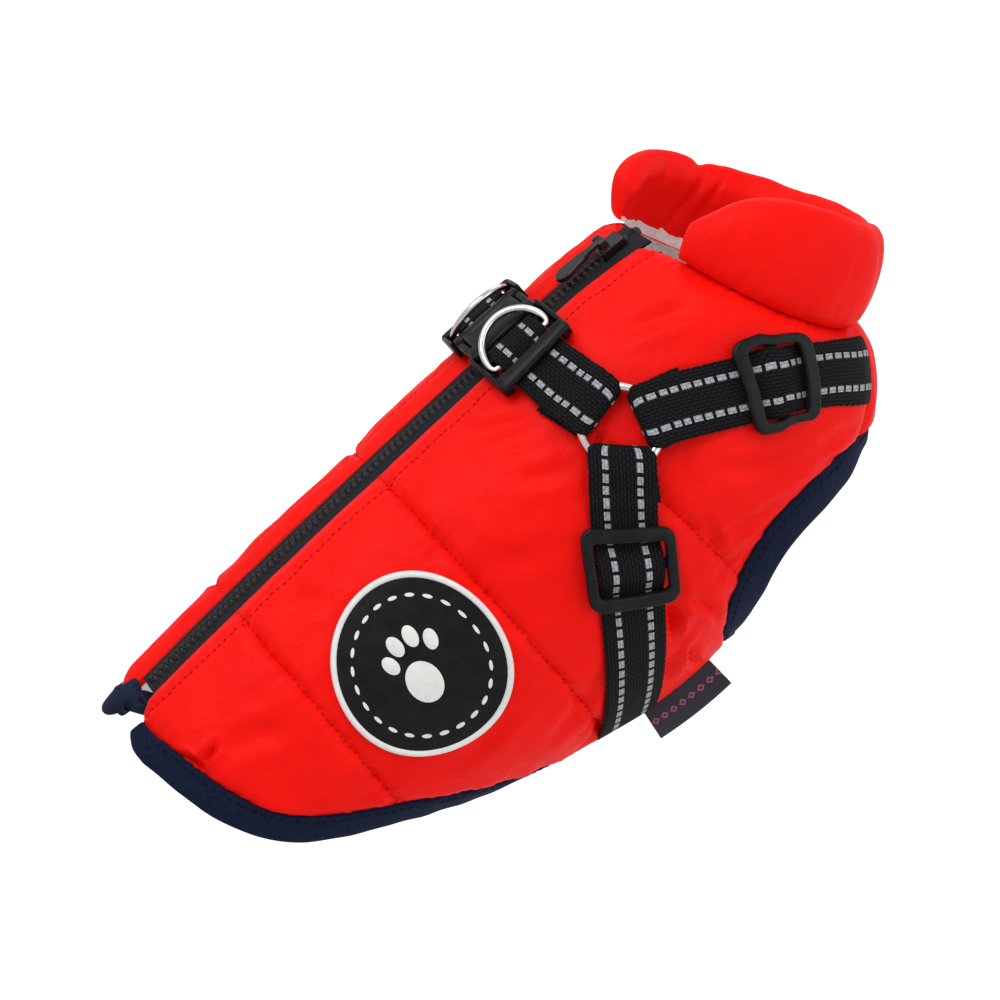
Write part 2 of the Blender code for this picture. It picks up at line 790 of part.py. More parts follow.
def outline_mesh(name, outlines, low, high, bevel=0.0):
    """A flat plate from closed outlines, the first its edge and the others its windows, as a filled curve."""
    curve = bpy.data.curves.new(name, "CURVE")
    curve.dimensions = "2D"
    curve.fill_mode = "BOTH"
    curve.extrude = (high - low) / 2 - bevel
    curve.bevel_depth = bevel
    curve.bevel_resolution = 0
    curve.offset = -bevel
    for outline in outlines:
        spline = curve.splines.new("POLY")
        spline.points.add(len(outline) - 1)
        for point, (x, y) in zip(spline.points, outline):
            point.co = (x, y, 0.0, 1.0)
        spline.use_cyclic_u = True
    obj = bpy.data.objects.new(name + "_outline", curve)
    collection("cutters").objects.link(obj)
    bpy.context.view_layer.update()
    mesh = evaluated_copy(obj, name)
    bpy.data.objects.remove(obj)
    bm = bmesh.new()
    bm.from_mesh(mesh)
    bmesh.ops.remove_doubles(bm, verts=bm.verts, dist=1e-4)
    bmesh.ops.translate(bm, verts=bm.verts, vec=(0.0, 0.0, (low + high) / 2))
    bpy.data.meshes.remove(mesh)
    return mesh_from(bm, name)


def rounded_rectangle(length, width, radius, arc_steps=3):
    points = []
    for quarter, (sx, sy) in enumerate(((1, 1), (-1, 1), (-1, -1), (1, -1))):
        for step in range(arc_steps + 1):
            turn = math.radians(90 * quarter + 90 * step / arc_steps)
            points.append((sx * (length / 2 - radius) + radius * math.cos(turn),
                           sy * (width / 2 - radius) + radius * math.sin(turn)))
    return points


def laid_on(mesh, band, distance, cuts=(), cross_cuts=()):
    """Lays a flat mesh on the skin: x is the distance along a band, y is across it and z is the height.

    The mesh is first cut at the given places, so that it can bend with the skin."""
    bm = bmesh.new()
    bm.from_mesh(mesh)
    bpy.data.meshes.remove(mesh)
    planes = [((cut, 0.0, 0.0), (1.0, 0.0, 0.0)) for cut in cuts]
    planes += [((0.0, cut, 0.0), (0.0, 1.0, 0.0)) for cut in cross_cuts]
    for place, direction in planes:
        bmesh.ops.bisect_plane(bm, geom=bm.verts[:] + bm.edges[:] + bm.faces[:],
                               plane_co=place, plane_no=direction)
    bmesh.ops.triangulate(bm, faces=bm.faces)
    for vert in bm.verts:
        vert.co = band.point(distance + vert.co.x, vert.co.y, vert.co.z)
    return mesh_from(bm, "laid")


def ribbon(name, band, profile, lanes=4):
    """Webbing along a band. Each row of the profile gives distance, height and half width at its middle plane.

    The webbing has `lanes` flat lanes across its width, so that it bends with the skin."""
    rings = []
    last = len(profile) - 1
    for k, (distance, height, half) in enumerate(profile):
        before, after = profile[max(k - 1, 0)], profile[min(k + 1, last)]
        run, rise = after[0] - before[0], after[1] - before[1]
        long = math.hypot(run, rise)
        shift_along, shift_up = -rise / long * WEB_THICKNESS / 2, run / long * WEB_THICKNESS / 2
        offsets = [half * (2 * lane / lanes - 1) for lane in range(lanes + 1)]
        ring = [band.point(distance - shift_along, across, height - shift_up) for across in offsets]
        ring += [band.point(distance + shift_along, across, height + shift_up) for across in reversed(offsets)]
        rings.append(ring)
    add_object(name, loft(name, rings), "webbing")


def loop_half_width(distance):
    """The webbing bunches where it folds round the ring, so that three loops share it."""
    return min(WEB_WIDTH / 2, LOOP_TAPER * (distance - WEB_THICKNESS / 2))


def ring_loop():
    """Profile of webbing that starts at its sewn tail, runs under the ring's wire, folds, and comes back over it."""
    full = WEB_WIDTH / 2
    rows = [(TAIL_LENGTH, LAYER_LOW, full), (16.0, LAYER_LOW, full), (11.0, LAYER_LOW, full)]
    for step in range(7):
        turn = math.pi * step / 6
        distance = LOOP_CENTRE - LOOP_RADIUS * math.sin(turn)
        rows.append((distance, RING_WIRE_HEIGHT - LOOP_RADIUS * math.cos(turn), loop_half_width(distance)))
    over = RING_WIRE_HEIGHT + LOOP_RADIUS
    rows += [(11.0, over, full), (13.5, over - 0.1, full), (16.5, LAYER_HIGH + 1.0, full)]
    rows += [(19.0, LAYER_HIGH, full), (TAIL_LENGTH, LAYER_HIGH, full)]
    return rows


def glide_rise(centre):
    """Profile of webbing under a slider's outer bars and over its middle bar."""
    full = WEB_WIDTH / 2
    over = GLIDE_CENTRE_TOP + GAP + WEB_THICKNESS / 2
    half = ((-13.0, LAYER_LOW), (-10.0, LAYER_LOW - 0.1), (-7.4, LAYER_LOW - 0.1), (-5.6, LAYER_LOW + 0.8), (-3.4, over - 0.5), (-1.8, over))
    rows = [(centre + at, height, full) for at, height in half]
    return rows + [(centre - at, height, full) for at, height in reversed(half)]


def flat_run(start, end, height, step=9.0):
    """Rows of a profile between two distances, leaving out both ends."""
    return [(at, height, WEB_WIDTH / 2) for at in stations_between(start, end, step)[1:-1]]


def distance_at(band, angle):
    """The distance along a band at which it has come round to an angle."""
    distance = 0.0
    while abs(band.place(distance)[1]) < angle:
        distance += 0.25
    return distance


def make_side_strap(name, band, glide_at, end):
    """Webbing from a ring through its slider to a seam of the chest panel, where it is sewn down."""
    rows = ring_loop() + [(TAIL_LENGTH + 3.0, LAYER_LOW + 0.4, WEB_WIDTH / 2)]
    glide = glide_rise(glide_at)
    rows += glide + flat_run(glide[-1][0], end - 8.0, LAYER_LOW) + [(end - 8.0, LAYER_LOW, WEB_WIDTH / 2)]
    rows += [(end, LAYER_LOW - STRAP_END_DROP, WEB_WIDTH / 2)]
    ribbon(name, band, rows)


def make_back_strap(name, band):
    """Webbing from a ring to the buckle: it goes over the D-ring's bar, round the buckle's bar, and back under."""
    middle = band.length / 2
    frame = WEB_WIDTH / 2 - 0.5
    held = WEB_WIDTH / 2 - 1.2
    rows = ring_loop()
    rows += [(at, height, half) for at, height, half in (
        (middle - 27.5, LAYER_HIGH, frame),
        (middle - 21.8, LAYER_HIGH, frame),
        (middle - 20.8, LAYER_HIGH + 0.3, held),
        (middle - 18.4, D_RING_HEIGHT + 1.6, held),
        (middle - D_RING_AT, D_RING_HEIGHT + 2.3, held),
        (middle - 15.2, D_RING_HEIGHT + 2.15, held),
        (middle - 13.6, INNER_BAR_HEIGHT + INNER_BAR_TURN, held),
    )]
    for step in range(7):
        turn = math.pi * step / 6
        rows.append((middle - INNER_BAR_AT + INNER_BAR_TURN * math.sin(turn),
                     INNER_BAR_HEIGHT + INNER_BAR_TURN * math.cos(turn), held))
    rows += [(middle - 15.0, LAYER_LOW, held), (middle - 22.0, LAYER_LOW, held), (middle - 29.0, LAYER_LOW, held)]
    ribbon(name, band, rows, lanes=2)


def make_ring(name, band):
    """A round ring that lies on the lower layer of the three loops, bent a little with the flank."""
    rings = []
    centre = band.places[0]
    forward, _ = skin_slopes(*centre)
    normal = skin_normal(*centre)
    side = normal.cross(forward).normalized()
    steps, sides = 24, 6
    for step in range(steps):
        turn = 2 * math.pi * step / steps
        outward = forward.normalized() * math.cos(turn) + side * math.sin(turn)
        ring = []
        for k in range(sides):
            roll = 2 * math.pi * k / sides
            reach = (RING_RADIUS + RING_WIRE / 2 * math.cos(roll)) * SKIN_SHRINK
            at = slide(*centre, outward * reach)
            ring.append(on_skin(*at, RING_WIRE_HEIGHT + RING_WIRE / 2 * math.sin(roll)))
        rings.append(ring)
    add_object(name, loft(name, rings, closed=True), "nickel")


def make_glide(name, band, distance):
    """A webbing slider: a rounded frame over the webbing, with a lower middle bar under it."""
    inner_width = GLIDE_WIDTH - 2 * GLIDE_RAIL
    inner_length = GLIDE_LENGTH - 2 * GLIDE_BAR
    frame = outline_mesh(
        name,
        [rounded_rectangle(GLIDE_LENGTH, GLIDE_WIDTH, GLIDE_CORNER),
         rounded_rectangle(inner_length, inner_width, 1.2, arc_steps=1)],
        GLIDE_LOW, GLIDE_LOW + GLIDE_THICKNESS, bevel=0.5,
    )
    bar_end = GLIDE_WIDTH / 2 - 1.2
    bar = block((-GLIDE_CENTRE_BAR / 2, GLIDE_CENTRE_BAR / 2), (-bar_end, bar_end),
                (WEB_BED, GLIDE_CENTRE_TOP))
    mesh = laid_on(fused(name, [frame, bar]), band, distance, cuts=(-6.0, 0.0, 6.0), cross_cuts=(-10.0, -5.0, 0.0, 5.0, 10.0))
    add_object(name, mesh, "plastic")


def frame_blocks(side):
    """The webbing frame at one end of the buckle, as boxes; `side` is 1 on the right and -1 on the left."""
    outer = BUCKLE_HALF_WIDTH
    inner = outer - FRAME_RAIL
    bed = WEB_BED

    def placed(start, end, across, low, high):
        along = sorted((-side * start, -side * end))
        return block(along, across, (low, high))

    window = BUCKLE_REACH - BUCKLE_BAR
    bar_half = INNER_BAR_RADIUS
    meshes = [placed(window, BUCKLE_REACH, (-outer, outer), FRAME_BAR_LOW, FRAME_BAR_TOP)]
    meshes.append(placed(INNER_BAR_AT - bar_half, INNER_BAR_AT + bar_half, (-inner - 0.8, inner + 0.8),
                         INNER_BAR_HEIGHT - bar_half, INNER_BAR_HEIGHT + bar_half))
    for rail in ((-outer, -inner), (inner, outer)):
        meshes.append(placed(BUCKLE_BODY - 1.0, BUCKLE_REACH - 0.4, rail, bed, FRAME_RAIL_TOP))
        meshes.append(placed(window + 0.2, BUCKLE_REACH - 0.2, rail, bed + 0.1, FRAME_BAR_TOP - 0.3))
        meshes.append(placed(BUCKLE_BODY - 0.8, INNER_BAR_AT + 1.4, rail, bed + 0.1, FRAME_POST_TOP))
    return meshes


BUCKLE_CUTS = (-21.0, -16.0, -10.0, -4.0, 0.0, 4.0, 10.0, 16.0, 21.0)


def make_buckle(band):
    """A side-release buckle over the zip: a socket on the right and a pronged half on the left."""
    outer = BUCKLE_HALF_WIDTH
    waist = outer - ARM_WIDTH - GAP
    middle = band.length / 2
    socket = [block((-BUCKLE_BODY, -ARM_END - GAP), (-outer, outer), (WEB_BED, BUCKLE_TOP))]
    socket.append(block((-ARM_END - GAP - 1.0, -BUCKLE_SPLIT), (-waist, waist), (WEB_BED, BUCKLE_TOP - 0.02)))
    socket += frame_blocks(1)
    mesh = laid_on(fused("buckle_socket", socket, bevel=0.25), band, middle, BUCKLE_CUTS)
    add_object("buckle_socket", mesh, "plastic")
    prong = [block((-BUCKLE_SPLIT + GAP, BUCKLE_BODY), (-outer, outer), (WEB_BED, BUCKLE_TOP))]
    for arm in ((-outer, -outer + ARM_WIDTH), (outer - ARM_WIDTH, outer)):
        prong.append(block((-ARM_END, -BUCKLE_SPLIT + 1.5), arm, (WEB_BED + 1.2, BUCKLE_TOP - 1.0)))
    prong += frame_blocks(-1)
    mesh = laid_on(fused("buckle_prong", prong, bevel=0.25), band, middle, BUCKLE_CUTS)
    add_object("buckle_prong", mesh, "plastic")


def make_d_ring(name, band, side):
    """A D-ring whose bar lies between the layers of webbing; it leans over the buckle and swings on its bar."""
    distance = band.length / 2 - side * D_RING_AT
    place = band.place(distance)
    pivot = on_skin(*place, D_RING_HEIGHT)
    normal = skin_normal(*place)
    axis = Vector((1.0, 0.0, 0.0))
    inward = normal.cross(axis) * side
    lean = math.radians(D_RING_LEAN)
    reach = inward * math.cos(lean) + normal * math.sin(lean)
    points = [axis * x for x in (-6.0, 6.0)]
    corner = 1.5
    for step in range(3):
        turn = math.radians(-90 + 45 * step)
        points.append(axis * (D_RING_RADIUS - corner + corner * math.cos(turn))
                      + reach * (corner + corner * math.sin(turn)))
    for step in range(13):
        turn = math.pi * step / 12
        points.append(axis * D_RING_RADIUS * math.cos(turn)
                      + reach * (D_RING_STRAIGHT + D_RING_RADIUS * math.sin(turn)))
    for step in range(3):
        turn = math.radians(180 + 45 * step)
        points.append(axis * (-D_RING_RADIUS + corner + corner * math.cos(turn))
                      + reach * (corner + corner * math.sin(turn)))
    curve = bpy.data.curves.new(name, "CURVE")
    curve.dimensions = "3D"
    curve.bevel_depth = D_RING_WIRE / 2 * MM
    curve.bevel_resolution = 1
    spline = curve.splines.new("POLY")
    spline.points.add(len(points) - 1)
    for target, point in zip(spline.points, points):
        target.co = (*(point * MM), 1.0)
    spline.use_cyclic_u = True
    curve.materials.append(material("nickel"))
    obj = bpy.data.objects.new(name, curve)
    obj.location = pivot * MM
    collection(PART).objects.link(obj)


def make_slider():
    centre = SLIDER_CENTRE
    half = SLIDER_WIDTH / 2
    meshes = [block((-SLIDER_LENGTH / 2, SLIDER_LENGTH / 2), (-half, half), (SLIDER_LOW, SLIDER_TOP))]
    lug = PULL_AXIS - centre
    for inner, outer in ((1.95, 3.1), (-3.1, -1.95)):
        meshes.append(block((lug - 1.3, lug + 1.3), (inner, outer), (SLIDER_TOP - 0.5, PULL_AXIS_HEIGHT + 1.0)))
    mesh = fused("zip_slider", meshes, bevel=0.3)
    for vert in mesh.vertices:
        along = centre + vert.co.x
        top = skin_point(along, 0.0)
        vert.co = (along, vert.co.y, top.z + vert.co.z)
    add_object("zip_slider", mesh, "zip")


def pull_outline():
    """Outline of the pull tab: a round eye at its axis, a shank, and a wider lobe at its free, rear end."""
    points = []
    for step in range(5):
        turn = math.radians(120 + 30 * step)
        points.append((PULL_EYE_RADIUS * math.cos(turn), PULL_EYE_RADIUS * math.sin(turn)))
    lobe = PULL_LENGTH - PULL_LOBE_RADIUS
    points += [(4.0, -1.3), (7.0, -2.4)]
    for step in range(7):
        turn = math.radians(-90 + 30 * step)
        points.append((lobe + PULL_LOBE_RADIUS * math.cos(turn), PULL_LOBE_RADIUS * math.sin(turn)))
    points += [(7.0, 2.4), (4.0, 1.3)]
    return [(-x, y) for x, y in reversed(points)]


def make_pull():
    pivot = Vector((PULL_AXIS, 0.0, skin_point(PULL_AXIS, 0.0).z + PULL_AXIS_HEIGHT))
    half = PULL_THICKNESS / 2
    mesh = outline_mesh("zip_pull", [pull_outline()], -half, half, bevel=0.25)
    mesh.transform(Matrix.Translation(pivot))
    add_object("zip_pull", mesh, "zip", origin=pivot)


def make_badge():
    """A moulded disc with a raised rim, bent over the flank."""
    forward, around = skin_slopes(*BADGE_PLACE)
    forward.normalize()
    around = (around - forward * around.dot(forward)).normalized()
    bed = PUFF_HEIGHT + GAP
    face, rim = bed + BADGE_FACE_HEIGHT, bed + BADGE_RIM_HEIGHT
    inner_rim = BADGE_RADIUS - BADGE_RIM
    bm = bmesh.new()
    sectors = 36

    def circle(radius, height):
        ring = []
        for step in range(sectors):
            turn = 2 * math.pi * step / sectors
            step_out = (forward * math.cos(turn) + around * math.sin(turn)) * radius * SKIN_SHRINK
            ring.append(bm.verts.new(on_skin(*slide(*BADGE_PLACE, step_out), height)))
        return ring

    rings = [circle(r, bed) for r in (9.0, 18.0, BADGE_RADIUS)]
    rings += [circle(BADGE_RADIUS, rim - 0.5), circle(BADGE_RADIUS - 0.5, rim), circle(inner_rim, rim)]
    rings += [circle(inner_rim - 0.2, face), circle(16.0, face), circle(8.0, face)]
    for first, second in zip(rings, rings[1:]):
        for k in range(sectors):
            following = (k + 1) % sectors
            bm.faces.new((first[k], first[following], second[following], second[k]))
    for ring, height in ((rings[0], bed), (rings[-1], face)):
        centre = bm.verts.new(on_skin(*BADGE_PLACE, height))
        for k in range(sectors):
            bm.faces.new((ring[k], ring[(k + 1) % sectors], centre))
    add_object("badge", mesh_from(bm, "badge"), "rubber")


def make_label():
    """A folded woven label that stands out of the belly seam."""
    rings = []
    low = EDGE_HEIGHT + 2 * GAP
    for along in stations_between(LABEL_FROM, LABEL_FROM + LABEL_WIDTH, 4.0):
        side = skin_slopes(along, SEAM_ANGLE)[1].normalized() * LABEL_THICKNESS / 2
        near, far = slide(along, SEAM_ANGLE, -side), slide(along, SEAM_ANGLE, side)
        rings.append([on_skin(*near, low), on_skin(*far, low),
                      on_skin(*far, low + LABEL_LENGTH), on_skin(*near, low + LABEL_LENGTH)])
    add_object("label", loft("label", rings), "label")


def clear_scene():
    for obj in list(bpy.data.objects):
        bpy.data.objects.remove(obj)


def main():
    clear_scene()
    flank = flank_grid()
    chest = chest_grid()
    make_flank("flank_right", flank)
    make_flank("flank_left", mirrored(flank))
    make_chest(chest)
    make_hem_binding(flank, chest)
    make_armhole_bindings()
    make_collar()
    make_zip()
    make_slider()
    make_pull()
    make_badge()
    make_label()
    yoke = Band(YOKE_ROUTE)
    yoke_back = Band([(k, along, -angle) for k, along, angle in YOKE_ROUTE])
    make_back_strap("back_strap_right", yoke)
    make_back_strap("back_strap_left", yoke_back)
    make_ring("ring_right", yoke)
    make_ring("ring_left", yoke_back)
    for word, side in (("right", 1), ("left", -1)):
        chest_band = Band([(k, along, angle * side) for k, along, angle in CHEST_ROUTE])
        make_side_strap("chest_strap_" + word, chest_band, CHEST_GLIDE_AT, distance_at(chest_band, CHEST_END_ANGLE))
        make_glide("chest_glide_" + word, chest_band, CHEST_GLIDE_AT)
        belly_band = Band([(k, along, angle * side) for k, along, angle in BELLY_ROUTE])
        end = distance_at(belly_band, BELLY_END_ANGLE) - BELLY_END_BACK
        make_side_strap("belly_strap_" + word, belly_band, BELLY_GLIDE_AT, end)
        make_glide("belly_glide_" + word, belly_band, BELLY_GLIDE_AT)
    make_buckle(yoke)
    make_d_ring("d_ring_right", yoke, 1)
    make_d_ring("d_ring_left", yoke, -1)


main()
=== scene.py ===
import json
import math

import bmesh
import bpy
import numpy as np
from bpy.props import FloatProperty, FloatVectorProperty, PointerProperty
from mathutils import Matrix, Vector

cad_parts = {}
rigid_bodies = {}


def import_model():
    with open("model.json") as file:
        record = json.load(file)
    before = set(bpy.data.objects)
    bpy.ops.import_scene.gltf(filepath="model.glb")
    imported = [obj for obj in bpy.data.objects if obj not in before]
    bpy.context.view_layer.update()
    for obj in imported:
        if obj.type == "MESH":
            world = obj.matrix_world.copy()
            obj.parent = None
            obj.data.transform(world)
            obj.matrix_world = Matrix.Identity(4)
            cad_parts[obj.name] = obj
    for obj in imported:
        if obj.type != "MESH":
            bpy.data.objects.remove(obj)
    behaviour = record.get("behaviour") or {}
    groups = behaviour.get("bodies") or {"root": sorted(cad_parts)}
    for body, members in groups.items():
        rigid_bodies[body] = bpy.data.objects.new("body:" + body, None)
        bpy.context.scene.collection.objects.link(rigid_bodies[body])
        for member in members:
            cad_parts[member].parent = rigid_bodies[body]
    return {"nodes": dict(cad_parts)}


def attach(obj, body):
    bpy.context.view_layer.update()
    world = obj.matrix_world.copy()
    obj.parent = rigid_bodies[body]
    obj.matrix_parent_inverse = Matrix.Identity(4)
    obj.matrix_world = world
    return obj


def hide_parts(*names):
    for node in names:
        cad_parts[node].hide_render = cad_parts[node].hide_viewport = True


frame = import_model()

bl_info = {
    "name": "Dog jacket",
    "version": (1, 0, 0),
    "blender": (4, 5, 0),
    "location": "3D View > Sidebar > Dog jacket",
    "description": "Dresses the packed dog jacket: padded cloth, bindings, webbing, zip, hardware and stage",
    "category": "Object",
}

MM = 0.001
SIDES = (("right", 1), ("left", -1))

# --- The skin: the inner face of the garment, in millimetres
# A place on it is given by `along`, the distance from the withers on the back line, and by `angle`, in degrees
# round the section, positive on the right.


class Table:
    """Rows of numbers, the first of them a station: each other column is a smooth curve through the rows."""

    def __init__(self, rows):
        self.rows = np.array(rows, dtype=float)

    def __call__(self, column, at):
        x, y = self.rows[:, 0], self.rows[:, column]
        last = len(x) - 1
        at = np.asarray(at, dtype=float)
        near = np.clip(np.searchsorted(x, at) - 1, 0, last - 1)
        order = np.arange(last + 1)
        before, after = np.maximum(order - 1, 0), np.minimum(order + 1, last)
        slopes = (y[after] - y[before]) / (x[after] - x[before])
        span = x[near + 1] - x[near]
        part = (at - x[near]) / span
        rise = part * part * (3 - 2 * part)
        bend = span * part * (1 - part) * (slopes[near] * (1 - part) - slopes[near + 1] * part)
        return y[near] * (1 - rise) + y[near + 1] * rise + bend


SECTIONS = Table((
    # along   top  tilt  depth  half_width  raised
    (-175.0, -4.0, -7.0, 76.0, 38.0, 0.0),
    (-150.0, -2.0, -5.0, 82.0, 41.0, 0.0),
    (-110.0, -0.3, -3.0, 91.0, 45.0, 0.0),
    (-60.0, 0.3, -1.0, 107.0, 51.0, 0.0),
    (-20.0, 0.3, 1.0, 113.5, 54.0, 0.0),
    (10.0, 0.0, 8.0, 110.5, 53.0, 5.5),
    (33.0, -0.5, 18.5, 101.5, 47.5, 2.5),
    (44.0, -1.0, 25.0, 87.0, 41.0, 2.5),
    (52.0, -1.6, 26.5, 69.0, 35.5, 4.0),
))
TOP, TILT, DEPTH, HALF_WIDTH, RAISED = 1, 2, 3, 4, 5
RAISED_FROM, RAISED_TO = 0.35, 0.92

HEM = Table((
    # step  along  angle
    (0, -148.5, 9.5),
    (1, -153.8, 20.0),
    (2, -151.0, 42.0),
    (3, -147.0, 62.0),
    (4, -141.0, 79.0),
    (5, -131.0, 94.0),
    (6, -109.0, 114.0),
    (7, -85.0, 136.0),
    (8, -66.0, 150.0),
))
HEM_CORNER, HEM_END = 4.0, 8.0
HEM_BELLY = -50.0
HEM_SEAM = -66.0
SEAM_ANGLE = 150.0
FRONT_SEAM_ANGLE = 133.0
CHEST_NECK_GAP = 0.35
NECK = 52.0
NECK_DIP = 4.0
ZIP_OPENING = 13.0
ZIP_FLARE, ZIP_FLARE_FROM = 6.0, 22.0
FRONT_RECESS = 4.5
ARMHOLE_CENTRE = 9.5
ARMHOLE_HALF_LENGTH = 24.5
ARMHOLE_RISE = 39.0
ARMHOLE_DROP = 13.0
QUILT_LINES = (-112.0, -54.5, -2.75)
PUFF_HEIGHT = 4.6
EDGE_HEIGHT = 2.4
GAP = 0.3
SKIN_SHRINK = 0.94
BINDING_HEIGHT = 3.8


def unit(vectors):
    return vectors / np.linalg.norm(vectors, axis=-1, keepdims=True)


def spread_out(*values):
    """Arrays of one shape from numbers and arrays."""
    return np.broadcast_arrays(*(np.asarray(value, float) for value in values))


def eased(share):
    """A smooth step from 0 to 1."""
    return share * share * (3 - 2 * share)


def skin_point(along, angle):
    along, angle = spread_out(along, angle)
    tilt, turn = np.radians(SECTIONS(TILT, along)), np.radians(angle)
    down = SECTIONS(DEPTH, along) * (1 - np.cos(turn)) / 2
    under = np.clip((-np.cos(turn) - RAISED_FROM) / (RAISED_TO - RAISED_FROM), 0.0, 1.0)
    down = down - SECTIONS(RAISED, along) * eased(under)
    return np.stack((
        along + np.sin(tilt) * down,
        -SECTIONS(HALF_WIDTH, along) * np.sin(turn),
        SECTIONS(TOP, along) - np.cos(tilt) * down,
    ), axis=-1)


def skin_slopes(along, angle):
    """The change of the skin point for 1 mm along and for 1 degree of angle."""
    step = 0.25
    forward = (skin_point(along + step, angle) - skin_point(along - step, angle)) / (2 * step)
    around = (skin_point(along, angle + step) - skin_point(along, angle - step)) / (2 * step)
    return forward, around


def skin_normal(along, angle):
    forward, around = skin_slopes(along, angle)
    return unit(np.cross(around, forward))


def on_skin(along, angle, height):
    return skin_point(along, angle) + skin_normal(along, angle) * np.asarray(height, float)[..., None]


def dot(a, b):
    return (a * b).sum(axis=-1)


def slide(along, angle, step):
    """The places that lie the tangent vectors `step` away from places on the skin."""
    forward, around = skin_slopes(along, angle)
    ff, fa, aa = dot(forward, forward), dot(forward, around), dot(around, around)
    sf, sa = dot(step, forward), dot(step, around)
    whole = ff * aa - fa * fa
    return along + (sf * aa - sa * fa) / whole, angle + (sa * ff - sf * fa) / whole


def half_opening_angle(along, width):
    return np.degrees(np.arcsin(width / 2 / SECTIONS(HALF_WIDTH, along)))


def zip_opening(along):
    """How far apart the flanks lie at the zip: they part wider towards the neck."""
    share = np.clip((along - ZIP_FLARE_FROM) / (NECK - ZIP_FLARE_FROM), 0.0, None)
    return ZIP_OPENING + ZIP_FLARE * share ** 1.5


def neck_line(angle):
    return NECK - NECK_DIP * np.sin(np.radians(angle)) ** 2


def arcs(points, axis=0):
    """Distance along each line of points, from its start."""
    steps = np.linalg.norm(np.diff(points, axis=axis), axis=-1)
    start = np.zeros_like(np.take(steps, [0], axis=axis))
    return np.concatenate([start, np.cumsum(steps, axis=axis)], axis=axis)


def waves(at, length, seed, count=4):
    """A smooth uneven wave between about -1 and 1, with humps about `length` long."""
    source = np.random.default_rng(seed)
    total = np.zeros_like(np.asarray(at, float))
    for _ in range(count):
        share = source.uniform(0.72, 1.45)
        total += np.sin(2 * math.pi * np.asarray(at) / (length * share) + source.uniform(0, 2 * math.pi))
    return total / count ** 0.5 / 1.2


def ripples(across, down, length, seed, count=7):
    """A smooth uneven field over two lengths, between about -1 and 1, with humps about `length` wide."""
    source = np.random.default_rng(seed)
    total = np.zeros(np.broadcast(across, down).shape)
    for _ in range(count):
        turn, share = source.uniform(0, math.pi), source.uniform(0.7, 1.5)
        run = across * math.cos(turn) + down * math.sin(turn)
        total += np.sin(2 * math.pi * run / (length * share) + source.uniform(0, 2 * math.pi))
    return total / count ** 0.5 / 1.2


class Band:
    """A route over the skin. Its points are given by distance along it, offset across it, and height."""

    SAMPLES = 160

    def __init__(self, route, side=1):
        table = Table(route)
        at = np.linspace(0.0, route[-1][0], self.SAMPLES + 1)
        self.along, self.angle = table(1, at), table(2, at) * side
        self.distances = arcs(on_skin(self.along, self.angle, LAYER_LOW))
        self.length = self.distances[-1]

    def place(self, distance):
        distance = np.asarray(distance, float)
        near = np.clip(np.searchsorted(self.distances, distance) - 1, 0, self.SAMPLES - 1)
        span = self.distances[near + 1] - self.distances[near]
        part = (distance - self.distances[near]) / span
        along = self.along[near] + (self.along[near + 1] - self.along[near]) * part
        return along, self.angle[near] + (self.angle[near + 1] - self.angle[near]) * part

    def distance_at(self, angle):
        return float(np.interp(angle, np.abs(self.angle), self.distances))

    def point(self, distance, across, height):
        distance, across, height = spread_out(distance, across, height)
        place = self.place(distance)
        ahead = skin_point(*self.place(distance + 1.0)) - skin_point(*self.place(distance - 1.0))
        side = unit(np.cross(skin_normal(*place), ahead))
        turned = skin_normal(*slide(*place, side)) - skin_normal(*slide(*place, -side))
        reach = across / (1 + dot(turned, side) / 2 * height)
        return on_skin(*slide(*place, side * reach[..., None]), height)


# --- Webbing and hardware, as they lie on the skin

WEB_WIDTH = 20.0
WEB_THICKNESS = 1.4
WEB_BED = PUFF_HEIGHT + 0.5
LAYER_LOW = WEB_BED + WEB_THICKNESS / 2
LAYER_HIGH = LAYER_LOW + WEB_THICKNESS + GAP
TAIL_LENGTH = 22.0
RING_RADIUS = 11.6
RING_WIRE = 2.6
RING_WIRE_HEIGHT = LAYER_LOW + WEB_THICKNESS / 2 + GAP + RING_WIRE / 2
LOOP_RADIUS = RING_WIRE / 2 + GAP + WEB_THICKNESS / 2
LOOP_CENTRE = 8.2
LOOP_TAPER = 1.5
TAIL_SHIFT = 1.3
YOKE_ROUTE = (
    # step  along  angle
    (0, 3.0, 53.5),
    (1, 2.0, 36.0),
    (2, 1.5, 19.0),
    (3, 1.5, 0.0),
    (4, 1.5, -19.0),
    (5, 2.0, -36.0),
    (6, 3.0, -53.5),
)
CHEST_ROUTE = (
    # step  along  angle
    (0, 3.0, 53.5),
    (1, 19.0, 64.0),
    (2, 32.0, 80.5),
    (3, 38.5, 99.0),
    (4, 41.5, 122.0),
    (5, 42.0, 150.0),
)
BELLY_ROUTE = (
    # step  along  angle
    (0, 3.0, 53.5),
    (1, -12.0, 70.5),
    (2, -25.0, 90.0),
    (3, -37.0, 112.0),
    (4, -46.0, 133.0),
    (5, -50.0, 148.0),
)
CHEST_END_ANGLE = 131.0
BELLY_END_ANGLE = 147.5
BELLY_END_BACK = 4.0
STRAP_END_DROP = 1.2
GLIDE_LENGTH = 24.0
GLIDE_WIDTH = 28.0
GLIDE_BAR = 4.2
GLIDE_RAIL = 3.2
GLIDE_CORNER = 4.0
GLIDE_LOW = LAYER_LOW + WEB_THICKNESS / 2 + GAP
GLIDE_THICKNESS = 2.8
GLIDE_CENTRE_BAR = 3.2
GLIDE_CENTRE_TOP = 7.6
CHEST_GLIDE_AT = 49.5
BELLY_GLIDE_AT = 41.0
BUCKLE_HALF_WIDTH = 12.5
BUCKLE_REACH = 26.0
BUCKLE_BAR = 4.4
BUCKLE_BODY = 8.8
